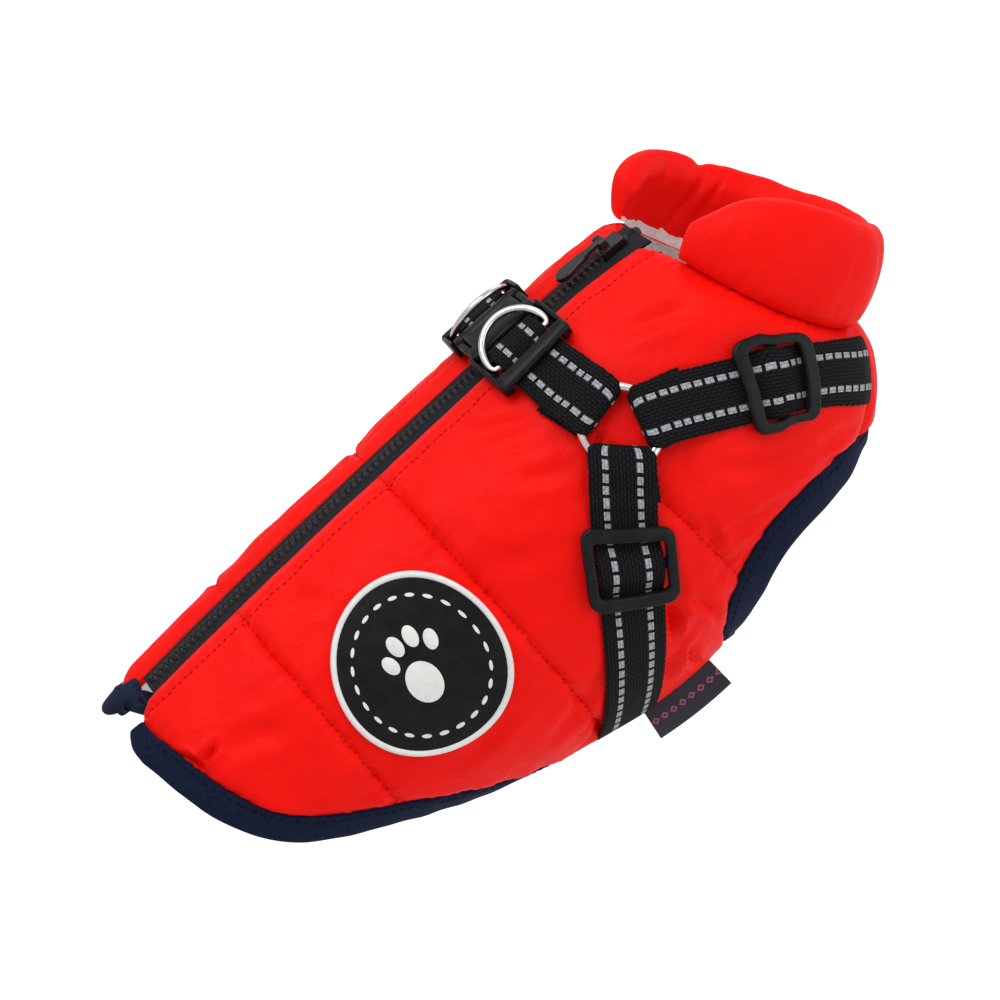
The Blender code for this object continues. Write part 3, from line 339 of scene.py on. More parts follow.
BUCKLE_SPLIT = -5.0
BUCKLE_TOP = 10.8
FRAME_RAIL = 2.1
FRAME_RAIL_TOP = 7.2
FRAME_BAR_LOW = LAYER_HIGH + WEB_THICKNESS / 2 + GAP
FRAME_BAR_TOP = FRAME_BAR_LOW + 2.8
FRAME_POST_TOP = 8.2
FRAME_LIP = 1.3
INNER_BAR_AT = 12.2
INNER_BAR_RADIUS = 1.0
INNER_BAR_TURN = 2.3
INNER_BAR_HEIGHT = LAYER_LOW + INNER_BAR_TURN
ARM_WIDTH = 2.4
ARM_END = 3.0
D_RING_AT = 16.8
D_RING_HEIGHT = 8.6
D_RING_WIRE = 2.2
D_RING_RADIUS = 10.9
D_RING_STRAIGHT = 1.6
D_RING_LEAN = 25.5
LAID_STEP = 3.0

# --- Meshes


def linked(name, data):
    """A new object in the scene."""
    obj = bpy.data.objects.new(name, data)
    bpy.context.scene.collection.objects.link(obj)
    return obj


def mesh_taken(obj):
    """The plain mesh of an object as its modifiers or its curve make it; the object is removed."""
    bpy.context.view_layer.update()
    mesh = bpy.data.meshes.new_from_object(obj.evaluated_get(bpy.context.evaluated_depsgraph_get()))
    bpy.data.objects.remove(obj)
    return mesh


def grid_quads(rows, columns, start=0, wrap_rows=False, wrap_columns=False):
    """Faces over a grid of vertices that are numbered row by row."""
    i = np.arange(rows if wrap_rows else rows - 1)[:, None]
    j = np.arange(columns if wrap_columns else columns - 1)[None, :]
    below, right = (i + 1) % rows, (j + 1) % columns
    quads = (i * columns + j, i * columns + right, below * columns + right, below * columns + j)
    return np.stack(np.broadcast_arrays(*quads), axis=-1).reshape(-1, 4) + start


def mesh_object(name, points, faces, materials, uv=None, slots=None, sharp=50.0):
    """An object of a closed mesh whose faces point outwards, from points in millimetres."""
    points = np.asarray(points, float).reshape(-1, 3) * MM
    faces = [list(map(int, face)) for face in faces]
    corners = np.array([(f[0], f[k], f[k + 1]) for f in faces for k in range(1, len(f) - 1)])
    a, b, c = (points[corners[:, k]] for k in range(3))
    if dot(a, np.cross(b, c)).sum() < 0:
        faces = [face[::-1] for face in faces]
    mesh = bpy.data.meshes.new(name)
    mesh.from_pydata(points.tolist(), [], faces)
    for material in materials:
        mesh.materials.append(material)
    if slots is not None:
        mesh.polygons.foreach_set("material_index", np.asarray(slots, np.int32))
    if uv is not None:
        layer = mesh.uv_layers.new(name="cloth")
        index = np.empty(len(mesh.loops), np.int32)
        mesh.loops.foreach_get("vertex_index", index)
        layer.data.foreach_set("uv", (np.asarray(uv, float).reshape(-1, 2) * MM)[index].ravel())
    mesh.shade_smooth()
    mesh.set_sharp_from_angle(angle=math.radians(sharp))
    return linked(name, mesh)


def wall_object(name, inner, outer, uv, outside, inside):
    """A closed wall between two grids of points, with one material outside and one inside."""
    rows, columns = inner.shape[:2]
    count = rows * columns
    top = grid_quads(rows, columns)
    bottom = grid_quads(rows, columns, start=count)[:, ::-1]
    border = [i * columns for i in range(rows)]
    border += [(rows - 1) * columns + j for j in range(1, columns)]
    border += [i * columns + columns - 1 for i in range(rows - 2, -1, -1)]
    border += list(range(columns - 2, 0, -1))
    ends = border[1:] + border[:1]
    rim = [(a, b, b + count, a + count) for a, b in zip(border, ends)]
    faces = list(top) + list(bottom) + rim
    slots = [0] * len(top) + [1] * len(bottom) + [0] * len(rim)
    points = np.concatenate([outer.reshape(-1, 3), inner.reshape(-1, 3)])
    both = np.concatenate([uv.reshape(-1, 2), uv.reshape(-1, 2)])
    return mesh_object(name, points, faces, [outside, inside], both, slots)


def tube_object(name, rings, materials, closed=False, uv=None, slots=None, sharp=50.0):
    """A closed solid through rings of points; a closed one joins its last ring to its first."""
    rings = np.asarray(rings, float)
    rows, columns = rings.shape[:2]
    faces = list(grid_quads(rows, columns, wrap_rows=closed, wrap_columns=True))
    marks = None
    if slots is not None:
        marks = [slots[k % columns] for k in range(len(faces))]
    if not closed:
        faces += [list(range(columns))[::-1], list(range((rows - 1) * columns, rows * columns))]
        if marks is not None:
            marks += [0, 0]
    return mesh_object(name, rings, faces, materials, uv, marks, sharp)


def merged(name, objects):
    """One object from several, which are removed; materials are taken from the first that has each."""
    points, faces, uvs, slots, materials = [], [], [], [], []
    for obj in objects:
        mesh = obj.data
        start = len(points)
        points += [vert.co[:] for vert in mesh.vertices]
        layer = mesh.uv_layers.active
        index = [0] * len(mesh.vertices)
        if layer:
            for loop in mesh.loops:
                index[loop.vertex_index] = loop.index
        uvs += [layer.data[k].uv[:] if layer else (0.0, 0.0) for k in index]
        for material in mesh.materials:
            if material not in materials:
                materials.append(material)
        for face in mesh.polygons:
            faces.append([start + k for k in face.vertices])
            slots.append(materials.index(mesh.materials[face.material_index]))
        bpy.data.objects.remove(obj)
    return mesh_object(name, np.array(points) / MM, faces, materials, np.array(uvs) / MM, slots)


def smooth_profile(points, count):
    """A closed smooth curve through points, in `count` even steps of its parameter."""
    points = np.asarray(points, float)
    at = np.arange(count) * len(points) / count
    near = at.astype(int)
    part = (at - near)[:, None]
    before, start, end, after = (points[(near + k) % len(points)] for k in (-1, 0, 1, 2))
    bend = (end - before) / 2, (after - start) / 2
    rise, back = eased(part), 1 - part
    return start * (1 - rise) + end * rise + bend[0] * part * back ** 2 - bend[1] * part * part * back


def even_steps(start, end, step):
    return np.linspace(start, end, max(2, int(round(abs(end - start) / step)) + 1))


def iso_line(field, value, points, axis):
    """The points at which a field over a grid takes a value, one for each line of the grid along `axis`."""
    field, points = np.moveaxis(field, axis, 1), np.moveaxis(points, axis, 1)
    found = []
    for row, line in zip(field, points):
        crossing = np.nonzero((row[:-1] - value) * (row[1:] - value) <= 0)[0]
        if len(crossing):
            k = crossing[0]
            part = (value - row[k]) / (row[k + 1] - row[k]) if row[k + 1] != row[k] else 0.0
            found.append(line[k] + (line[k + 1] - line[k]) * part)
    return np.array(found)


# --- Materials


def add_node(tree, kind, inputs=None, **settings):
    """A node with its settings, its values and its links; a socket given as an input is linked to it."""
    node = tree.nodes.new(kind)
    for key, value in settings.items():
        setattr(node, key, value)
    for key, value in (inputs or {}).items():
        if isinstance(value, bpy.types.NodeSocket):
            tree.links.new(value, node.inputs[key])
        else:
            node.inputs[key].default_value = value
    return node


def calc(tree, operation, first, second=0.0):
    return add_node(tree, "ShaderNodeMath", {0: first, 1: second}, operation=operation).outputs[0]


def mixed(tree, factor, first, second):
    node = add_node(tree, "ShaderNodeMix", data_type="RGBA")
    for key, value in (("Factor_Float", factor), ("A_Color", first), ("B_Color", second)):
        socket = next(s for s in node.inputs if s.identifier == key)
        if isinstance(value, bpy.types.NodeSocket):
            tree.links.new(value, socket)
        else:
            socket.default_value = value if key == "Factor_Float" else (*value[:3], 1.0)
    return next(s for s in node.outputs if s.identifier == "Result_Color")


def bump(tree, height, distance, strength=1.0, normal=None):
    inputs = {"Height": height, "Distance": distance, "Strength": strength}
    if normal is not None:
        inputs["Normal"] = normal
    return add_node(tree, "ShaderNodeBump", inputs).outputs["Normal"]


def noise(tree, vector, scale, detail=3.0, roughness=0.55, distortion=0.0):
    return add_node(tree, "ShaderNodeTexNoise", {
        "Vector": vector, "Scale": scale, "Detail": detail, "Roughness": roughness, "Distortion": distortion,
    }).outputs["Fac"]


def spread(tree, value, low, high, to_low=0.0, to_high=1.0):
    """Maps a range of values to another one, clamped."""
    inputs = {"Value": value, "From Min": low, "From Max": high, "To Min": to_low, "To Max": to_high}
    return add_node(tree, "ShaderNodeMapRange", inputs, clamp=True).outputs["Result"]


def new_material(name, **values):
    """A material and its tree; values that are the same all over are set on the shader's own sockets."""
    made = bpy.data.materials.new(name)
    made.use_nodes = True
    for key, value in values.items():
        made.node_tree.nodes["Principled BSDF"].inputs[key.replace("_", " ")].default_value = value
    return made, made.node_tree


def finished(made, **values):
    """The material, with what varies over it linked to the shader's sockets."""
    for key, value in values.items():
        made.node_tree.links.new(value, made.node_tree.nodes["Principled BSDF"].inputs[key.replace("_", " ")])
    return made


def coords(tree, output="Object"):
    return add_node(tree, "ShaderNodeTexCoord").outputs[output]


def stretched(tree, vector, scale):
    return add_node(tree, "ShaderNodeMapping", {"Vector": vector, "Scale": scale}).outputs["Vector"]


def flat_places(tree):
    """The UV map in millimetres, with its run and its distance across."""
    flat = stretched(tree, coords(tree, "UV"), (1000.0, 1000.0, 1000.0))
    parts = add_node(tree, "ShaderNodeSeparateXYZ", {"Vector": flat}).outputs
    return flat, parts["X"], parts["Y"]


def away_from(tree, value, middle):
    return calc(tree, "ABSOLUTE", calc(tree, "SUBTRACT", value, middle))


def from_middle(tree, run, pitch):
    """How far a place is from the middle of its repeat, as a part of the pitch."""
    return away_from(tree, calc(tree, "FRACT", calc(tree, "DIVIDE", run, pitch)), 0.5)


def cached(make):
    """A material is made once, and then taken from the file."""

    def take(*words):
        name = make.__name__ + "".join("_" + str(word) for word in words)
        return bpy.data.materials.get(name) or make(name, *words)

    return take


@cached
def shell_material(name):
    """Red shell cloth with a soft sheen: duller patches, crinkles and a fine weave."""
    looks = bpy.context.scene.jacket_cloth
    made, tree = new_material(name, Roughness=looks.shell_roughness, Specular_IOR_Level=0.09)
    place = coords(tree)
    patches = spread(tree, noise(tree, place, 34.0), 0.3, 0.7)
    crinkles = bump(tree, noise(tree, place, 190.0, 4.0, 0.6, 0.35), 0.0009, 0.5)
    return finished(made, Base_Color=mixed(tree, patches, looks.shell_colour_low, looks.shell_colour),
                    Normal=bump(tree, noise(tree, place, 2600.0, 1.0), 0.00008, 0.5, crinkles))


@cached
def fleece_material(name):
    """The lining's pale pile, in tufts."""
    looks = bpy.context.scene.jacket_cloth
    made, tree = new_material(name, Roughness=0.95, Sheen_Weight=0.5, Sheen_Roughness=0.6)
    place = coords(tree)
    pile, tufts = noise(tree, place, 420.0, 6.0, 0.7, 0.6), noise(tree, place, 130.0, 3.0, 0.6)
    # Painted shade: the pile is darker where it and its tufts sit low, where the bump is lowest too
    shade = spread(tree, calc(tree, "MULTIPLY", pile, tufts), 0.14, 0.36)
    return finished(made, Base_Color=mixed(tree, shade, looks.lining_colour_low, looks.lining_colour),
                    Normal=bump(tree, pile, 0.0012, 0.9, bump(tree, tufts, 0.003, 0.7)))


@cached
def binding_material(name):
    """Navy knitted tape, faintly ribbed across its run."""
    looks = bpy.context.scene.jacket_cloth
    made, tree = new_material(name, Roughness=0.85, Sheen_Weight=0.06, Sheen_Roughness=0.5,
                              Sheen_Tint=(0.4, 0.5, 0.9, 1.0), Specular_IOR_Level=0.1)
    ribs = add_node(tree, "ShaderNodeTexWave", {
        "Vector": coords(tree, "UV"), "Scale": 240.0, "Distortion": 1.2, "Detail": 1.0, "Detail Scale": 3.0,
    }, wave_type="BANDS", bands_direction="X").outputs["Fac"]
    fuzz = noise(tree, coords(tree), 700.0, 4.0, 0.7)
    # Painted light and shade: the raised fibres of the fuzz, which also lifts the bump, are painted lighter and
    # the hollows between them darker
    wear_and_painted_light = spread(tree, fuzz, 0.3, 0.75)
    return finished(made, Base_Color=mixed(tree, wear_and_painted_light, looks.binding_colour, looks.binding_colour_worn),
                    Normal=bump(tree, ribs, 0.0001, 0.3, bump(tree, fuzz, 0.0005, 0.6)))


@cached
def webbing_material(name):
    """Ribbed black webbing with two lines of grey dashes, laid out in millimetres on its UV map."""
    looks = bpy.context.scene.jacket_harness
    made, tree = new_material(name, Roughness=0.7, Sheen_Weight=0.01, Sheen_Roughness=0.5,
                              Specular_IOR_Level=0.09)
    flat, run, across = flat_places(tree)
    beside = away_from(tree, calc(tree, "ABSOLUTE", across), looks.dash_line)
    inside = calc(tree, "LESS_THAN", beside, looks.dash_width / 2)
    along = calc(tree, "LESS_THAN", from_middle(tree, run, looks.dash_pitch), looks.dash_share / 2)
    dash = calc(tree, "MULTIPLY", inside, along)
    weave = add_node(tree, "ShaderNodeTexBrick", {
        "Vector": flat, "Scale": 1.0, "Mortar Size": 0.2, "Mortar Smooth": 0.8, "Brick Width": 1.9,
        "Row Height": 1.05, "Bias": 0.0,
    })
    thread = calc(tree, "SUBTRACT", 1.0, weave.outputs["Fac"])
    fibre = noise(tree, stretched(tree, flat, (0.9, 6.0, 1.0)), 2.2, 3.0, 0.7)
    # Painted light and shade: the raised threads, which the bump lifts, are painted lighter than the gaps
    # between them
    wear_and_painted_light = spread(tree, calc(tree, "MULTIPLY", thread, fibre), 0.15, 0.6)
    black = mixed(tree, wear_and_painted_light, looks.webbing_colour, looks.webbing_colour_worn)
    # Painted shade: the dashes are darker where their fibres sit low, between threads
    grey = mixed(tree, fibre, looks.dash_colour_low, looks.dash_colour)
    height = calc(tree, "ADD", thread, calc(tree, "MULTIPLY", dash, 0.6))
    return finished(made, Base_Color=mixed(tree, dash, black, grey),
                    Roughness=spread(tree, dash, 0.0, 1.0, 0.72, 0.38),
                    Normal=bump(tree, height, 0.0006, 1.0, bump(tree, fibre, 0.0003, 0.6)))


@cached
def zip_tape_material(name):
    made, tree = new_material(name, Roughness=0.78, Sheen_Weight=0.02, Specular_IOR_Level=0.12)
    ribs = noise(tree, stretched(tree, coords(tree), (900.0, 2600.0, 900.0)), 1.0, 2.0)
    # Painted light and shade: the ribs that the bump raises are lighter, the hollows between them darker
    colour = mixed(tree, spread(tree, ribs, 0.3, 0.7), (0.006, 0.006, 0.008), (0.022, 0.023, 0.028))
    return finished(made, Base_Color=colour, Normal=bump(tree, ribs, 0.0003, 0.7))


def moulded(name, colour, wear_and_painted_light, roughness, grain, depth, coat=0.0):
    """Moulded plastic or rubber: a fine grain, and a surface that is a little uneven in gloss."""
    made, tree = new_material(name, Roughness=roughness, Specular_IOR_Level=0.17, Coat_Weight=coat,
                              Coat_Roughness=0.2)
    place = coords(tree)
    patch = noise(tree, place, 260.0)
    return finished(made, Base_Color=mixed(tree, spread(tree, patch, 0.35, 0.7), colour, wear_and_painted_light),
                    Roughness=spread(tree, patch, 0.3, 0.7, roughness - 0.06, roughness + 0.08),
                    Normal=bump(tree, noise(tree, place, grain, 2.0), depth, 0.5))


@cached
def plastic_material(name):
    looks = bpy.context.scene.jacket_hardware
    return moulded(name, looks.plastic_colour, looks.plastic_colour_worn, looks.plastic_roughness,
                   1500.0, 0.00012)


@cached
def teeth_material(name):
    return moulded(name, (0.008, 0.008, 0.010), (0.018, 0.018, 0.021), 0.42, 2200.0, 0.00005)


@cached
def lacquer_material(name):
    return moulded(name, (0.004, 0.004, 0.005), (0.010, 0.010, 0.012), 0.24, 1400.0, 0.00004, coat=0.3)


@cached
def badge_black_material(name):
    return moulded(name, (0.004, 0.004, 0.005), (0.008, 0.008, 0.009), 0.42, 900.0, 0.00008)


@cached
def badge_white_material(name):
    return moulded(name, (0.74, 0.73, 0.71), (0.82, 0.81, 0.79), 0.45, 900.0, 0.00008)


@cached
def thread_material(name, tone):
    looks = bpy.context.scene.jacket_cloth
    colours = {"red": looks.thread_colour, "navy": looks.binding_colour}
    made, tree = new_material(name, Roughness=0.6, Specular_IOR_Level=0.1)
    twist = add_node(tree, "ShaderNodeTexWave", {"Vector": coords(tree), "Scale": 900.0, "Distortion": 1.0},
                     wave_type="BANDS", bands_direction="DIAGONAL").outputs["Fac"]
    # Painted shade: the grooves of the twist, which the bump sinks, are darker
    dark = tuple(value * 0.7 for value in colours[tone][:3])
    return finished(made, Base_Color=mixed(tree, twist, dark, colours[tone]),
                    Normal=bump(tree, twist, 0.0001, 0.6))


@cached
def nickel_material(name):
    gloss = bpy.context.scene.jacket_hardware.nickel_roughness
    made, tree = new_material(name, Roughness=gloss, Metallic=1.0)
    place = coords(tree)
    patch = noise(tree, place, 420.0, 4.0)
    return finished(made, Base_Color=mixed(tree, patch, (0.62, 0.61, 0.58), (0.83, 0.82, 0.8)),
                    Roughness=spread(tree, patch, 0.3, 0.75, gloss - 0.03, gloss + 0.08),
                    Normal=bump(tree, noise(tree, place, 900.0, 2.0), 0.00004, 0.4))


@cached
def label_material(name):
    """Navy satin with a woven border of pink lozenges, laid out in millimetres on its UV map."""
    made, tree = new_material(name, Roughness=0.42, Sheen_Weight=0.08, Anisotropic=0.4)
    flat, run, across = flat_places(tree)
    pitch, border = 2.9, 6.2
    aside = calc(tree, "MULTIPLY", from_middle(tree, run, pitch), pitch)
    reach = calc(tree, "ADD", aside, away_from(tree, across, border))
    line = calc(tree, "MULTIPLY", calc(tree, "LESS_THAN", reach, 1.15), calc(tree, "GREATER_THAN", reach, 0.5))
    thread = noise(tree, stretched(tree, flat, (8.0, 1.0, 1.0)), 1.2, 2.0)
    # Painted shade: threads that sit lower in the bump are a darker blue
    blue = mixed(tree, thread, (0.005, 0.006, 0.016), (0.014, 0.015, 0.032))
    return finished(made, Base_Color=mixed(tree, line, blue, (0.32, 0.08, 0.17)),
                    Normal=bump(tree, calc(tree, "ADD", thread, line), 0.00012, 0.6))


# --- Geometry Nodes: one part repeated along paths


def repeat_tree(name):
    """Repeats a part along paths at an even pitch: its X follows the path and its Z the path's up direction."""
    found = bpy.data.node_groups.get(name)
    if found:
        return found
    tree = bpy.data.node_groups.new(name, "GeometryNodeTree")
    for label, kind in (("Paths", "NodeSocketGeometry"), ("Part", "NodeSocketObject"),
                        ("Pitch", "NodeSocketFloat"), ("Finish", "NodeSocketMaterial")):
        tree.interface.new_socket(label, in_out="INPUT", socket_type=kind)
    tree.interface.new_socket("Parts", in_out="OUTPUT", socket_type="NodeSocketGeometry")
    given = tree.nodes.new("NodeGroupInput").outputs
    curves = add_node(tree, "GeometryNodeMeshToCurve", {"Mesh": given["Paths"]})
    even = add_node(tree, "GeometryNodeResampleCurve", {
        "Curve": curves.outputs["Curve"], "Length": given["Pitch"],
    }, mode="LENGTH")
    up = add_node(tree, "GeometryNodeInputNamedAttribute", {"Name": "up"}, data_type="FLOAT_VECTOR")
    tangent = add_node(tree, "GeometryNodeInputTangent")
    ahead = add_node(tree, "FunctionNodeAlignRotationToVector", {
        "Vector": tangent.outputs["Tangent"],
    }, axis="X")
    upright = add_node(tree, "FunctionNodeAlignRotationToVector", {
        "Rotation": ahead.outputs["Rotation"], "Vector": up.outputs["Attribute"],
    }, axis="Z", pivot_axis="X")
    part = add_node(tree, "GeometryNodeObjectInfo", {"Object": given["Part"]})
    placed = add_node(tree, "GeometryNodeInstanceOnPoints", {
        "Points": even.outputs["Curve"], "Instance": part.outputs["Geometry"],
        "Rotation": upright.outputs["Rotation"],
    })
    real = add_node(tree, "GeometryNodeRealizeInstances", {"Geometry": placed.outputs["Instances"]})
    dressed = add_node(tree, "GeometryNodeSetMaterial", {
        "Geometry": real.outputs["Geometry"], "Material": given["Finish"],
    })
    result = tree.nodes.new("NodeGroupOutput")
    tree.links.new(dressed.outputs["Geometry"], result.inputs["Parts"])
    return tree


def repeated(name, paths, part, pitch, material):
    """A plain mesh object of a part repeated along paths: each is points in millimetres and up directions."""
    points, ups, edges = [], [], []
    for line, up in paths:
        start = len(points)
        points += (np.asarray(line) * MM).tolist()
        ups += np.broadcast_to(up, np.shape(line)).tolist()
        edges += [(start + k, start + k + 1) for k in range(len(line) - 1)]
    mesh = bpy.data.meshes.new(name + "_paths")
    mesh.from_pydata(points, edges, [])
    mesh.attributes.new("up", "FLOAT_VECTOR", "POINT").data.foreach_set("vector", np.ravel(ups))
    guide = linked(name + "_guide", mesh)
    tree = repeat_tree("repeat along paths")
    sockets = {item.name: item.identifier for item in tree.interface.items_tree if item.in_out == "INPUT"}
    modifier = guide.modifiers.new("repeat", "NODES")
    modifier.node_group = tree
    for label, value in (("Part", part), ("Pitch", pitch * MM), ("Finish", material)):
        modifier[sockets[label]] = value
    made = mesh_taken(guide)
    bpy.data.objects.remove(part)
    if not len(made.polygons):
        raise RuntimeError(name + ": nothing was repeated along the paths")
    made.materials.clear()
    made.materials.append(material)
    made.shade_smooth()
    return linked(name, made)


def stitch(length, radius):
    """One stitch of thread: a capsule that lies along X, a little arched."""
    rings = []
    for at, share in ((-1.0, 0.15), (-0.9, 0.7), (-0.6, 1.0), (0.0, 1.0), (0.6, 1.0), (0.9, 0.7), (1.0, 0.15)):
        turn = np.arange(6) * math.pi / 3
        x = np.full(6, at * length / 2)
        lift = radius * 0.6 * (1 - at * at) - radius * 0.5
        rings.append(np.stack([x, radius * share * np.cos(turn), lift + radius * share * np.sin(turn)], -1))
    return tube_object("stitch", rings, [])


# --- Shell: two flanks and the chest panel


def armhole_bulge(along):
    part = (np.asarray(along, float) - ARMHOLE_CENTRE) / ARMHOLE_HALF_LENGTH
    return np.sqrt(np.clip(1 - part * part, 0.0, None))


def rear_edge(share):
    """Places on the hem, from the zip (0) to its corner on the flank (1)."""
    return np.stack([HEM(1, HEM_CORNER * share), HEM(2, HEM_CORNER * share)], axis=-1)


def hem_angle_at(along):
    steps = np.linspace(HEM_CORNER, HEM_END, 400)
    return np.interp(along, HEM(1, steps), HEM(2, steps))


def low_edge_angle(along):
    """The lower edge of a flank: the hem, the rear seam, the leg hole's top and the front seam."""
    angle = np.where(along < HEM_SEAM, hem_angle_at(along), SEAM_ANGLE) - ARMHOLE_RISE * armhole_bulge(along)
    return np.where(along > ARMHOLE_CENTRE, np.minimum(angle, FRONT_SEAM_ANGLE), angle)


def hole_place(turn):
    """A place on the leg hole's edge: from its rear end over its top (0 to pi) and back below (pi to 2 pi)."""
    rise = np.where(np.sin(turn) > 0, ARMHOLE_RISE, ARMHOLE_DROP)
    return ARMHOLE_CENTRE - ARMHOLE_HALF_LENGTH * np.cos(turn), SEAM_ANGLE - rise * np.sin(turn)


CLOTH_STEP = 1.15
FRONT_SEAM_TURN = math.pi - math.asin((SEAM_ANGLE - FRONT_SEAM_ANGLE) / ARMHOLE_RISE)


def flank_grid():
    """Places of a flank: from the hem's corner to the neck, and from the zip down to the low edge."""
    first, last = float(HEM(1, HEM_CORNER)), float(neck_line(FRONT_SEAM_ANGLE))
    hole = hole_place(np.linspace(0.0, FRONT_SEAM_TURN, 42))[0]
    along = np.concatenate([even_steps(first, hole[0], CLOTH_STEP)[:-1], hole,
                            even_steps(hole[-1], last, 1.0)[1:]])
    low = np.stack([along, low_edge_angle(along)], axis=-1)
    low[-1, 1] = FRONT_SEAM_ANGLE
    u = (along - first) / (last - first)
    v = np.linspace(0.0, 1.0, 141)
    rear = rear_edge(v)
    zip_end = np.array([neck_line(0.0) - FRONT_RECESS, half_opening_angle(NECK, zip_opening(NECK))])
    top_along = rear[0, 0] + (zip_end[0] - rear[0, 0]) * u
    top = np.stack([top_along, half_opening_angle(top_along, zip_opening(top_along))], axis=-1)
    front_angle = zip_end[1] + (FRONT_SEAM_ANGLE - zip_end[1]) * v
    front = np.stack([neck_line(front_angle) - FRONT_RECESS * (1 - v) ** 9, front_angle], axis=-1)
    u, v = u[:, None, None], v[None, :, None]
    edges = (1 - v) * top[:, None] + v * low[:, None] + (1 - u) * rear[None] + u * front[None]
    corners = (1 - u) * ((1 - v) * rear[0] + v * rear[-1]) + u * ((1 - v) * zip_end + v * low[-1])
    return edges - corners


def chest_grid():
    """Places of the chest panel: from the hem to the neck, and across the belly from right to left.

    Each row has its right edge (along, angle) and its middle (along)."""
    seam = GAP * 1.1
    rear = even_steps(HEM_SEAM, ARMHOLE_CENTRE - ARMHOLE_HALF_LENGTH, CLOTH_STEP)
    below = hole_place(np.linspace(2 * math.pi, math.pi, 46)[1:])
    above = hole_place(np.linspace(math.pi, FRONT_SEAM_TURN + 0.01, 9)[1:])
    front = even_steps(above[0][-1], float(neck_line(FRONT_SEAM_ANGLE)), 1.1)[1:]
    along = np.concatenate([rear, below[0], above[0], front])
    side = np.concatenate([np.full(rear.shape, SEAM_ANGLE + seam), np.maximum(below[1], SEAM_ANGLE + seam),
                           above[1], np.full(front.shape, FRONT_SEAM_ANGLE + seam)])
    to_neck = np.linspace(0.0, 1.0, len(above[0]) + len(front) + 1)[1:]
    middle = np.concatenate([rear, below[0], below[0][-1] + (NECK - below[0][-1]) * to_neck])
    across = np.linspace(0.0, 1.0, 81)[None, :]
    along, side, middle = along[:, None], side[:, None], middle[:, None]
    angle = side + (360.0 - 2 * side) * across
    place = middle + (along - middle) * np.abs(2 * across - 1) ** 3
    fade = np.clip((-20.0 - along) / 46.0, 0.0, 1.0)
    belly = np.cos(np.pi * (angle - 180.0) / (2 * (180.0 - SEAM_ANGLE)))
    place = place + (HEM_BELLY - HEM_SEAM) * fade * np.clip(belly, 0.0, None)
    late = np.concatenate([np.zeros(len(rear) + len(below[0])), to_neck ** 2])[:, None]
    place = place + (neck_line(angle[-1:]) - CHEST_NECK_GAP - place[-1:]) * late
    return np.stack([place, angle], axis=-1)


def nearest(points, line):
    """The distance from each point to a line of points, and the index of its nearest point there."""
    flat = points.reshape(-1, 3)
    best, index = np.empty(len(flat)), np.empty(len(flat), int)
    for start in range(0, len(flat), 4000):
        away = np.linalg.norm(flat[start:start + 4000, None] - line[None], axis=-1)
        index[start:start + 4000] = away.argmin(axis=1)
        best[start:start + 4000] = away.min(axis=1)
    return best.reshape(points.shape[:-1]), index.reshape(points.shape[:-1])


CREASES = (
    # right side: start along, angle, end along, angle, depth, width, bow
    (-56.0, 128.0, -24.0, 103.0, 2.3, 2.5, 3.0),
    (-62.0, 138.0, -36.0, 122.0, 1.9, 2.2, -3.0),
    (-30.0, 118.0, -12.0, 92.0, 1.7, 2.2, 2.0),
    (-22.0, 108.0, -8.0, 84.0, 1.5, 2.0, -2.0),
    (-34.0, 134.0, -19.0, 112.0, 1.8, 2.2, -2.0),
    (-66.0, 118.0, -44.0, 106.0, 1.3, 2.6, 2.0),
    (-152.0, 40.0, -148.5, 52.0, 3.0, 1.2, 0.6),
    (-148.0, 50.0, -141.0, 47.5, 2.6, 1.1, 0.6),
    (-19.5, 100.0, -24.8, 115.0, 2.3, 1.4, 0.8),
    (-21.5, 121.0, -23.7, 137.0, 2.2, 1.4, -0.8),
    (0.8, 88.0, -2.8, 101.0, 1.6, 1.3, 0.6),
    (-15.5, 102.0, -12.6, 122.0, 1.6, 1.6, 1.2),
    (-28.5, 110.0, -31.0, 128.0, 1.4, 1.5, 0.8),
    (-140.0, 52.0, -122.0, 60.0, 1.0, 3.0, 2.0),
    (-30.0, 24.0, -12.0, 34.0, 1.2, 2.8, 2.0),
    (-26.0, 44.0, -13.0, 52.0, 1.0, 2.4, -2.0),
    (22.0, 34.0, 38.0, 48.0, 1.2, 2.6, 2.0),
    (12.0, 82.0, 24.0, 98.0, 1.2, 2.2, -2.0),
    (28.0, 108.0, 33.0, 124.0, 1.3, 2.0, 1.0),
    (24.0, 112.0, 27.0, 124.0, 1.1, 1.7, 1.0),
    (-92.0, 106.0, -70.0, 98.0, 1.0, 3.0, 3.0),
    (-48.0, 58.0, -30.0, 66.0, 0.9, 3.0, -2.0),
    (-104.0, 26.0, -90.0, 34.0, 0.9, 3.0, 2.0),
    (2.0, 98.0, 16.0, 108.0, 1.1, 2.0, 1.0),
)


WEB_PRESS, BADGE_PRESS = 9.6, 25.5


def creased(points, side, seed):
    """How much soft creases lower and lift the padded face; the other flank has its own, a little different."""
    source = np.random.default_rng(seed)
    total = np.zeros(points.shape[:-1])
    for row in CREASES:
        start, angle, end, last_angle, depth, width, bow = row
        if side < 0:
            start, end = start + source.uniform(-5, 5), end + source.uniform(-5, 5)
            angle, last_angle = angle + source.uniform(-5, 5), last_angle + source.uniform(-5, 5)
            depth *= source.uniform(0.7, 1.1)
        t = np.linspace(0.0, 1.0, 30)
        along = start + (end - start) * t + bow * np.sin(math.pi * t)
        turn = (angle + (last_angle - angle) * t) * side
        away, index = nearest(points, skin_point(along, turn))
        share = np.sin(math.pi * (0.04 + 0.92 * t)) ** 0.8
        reach = away / width
        trough = -np.exp(-reach ** 2) + 0.45 * np.exp(-((reach - 1.9) / 0.9) ** 2)
        total += depth * share[index] * trough
    return total


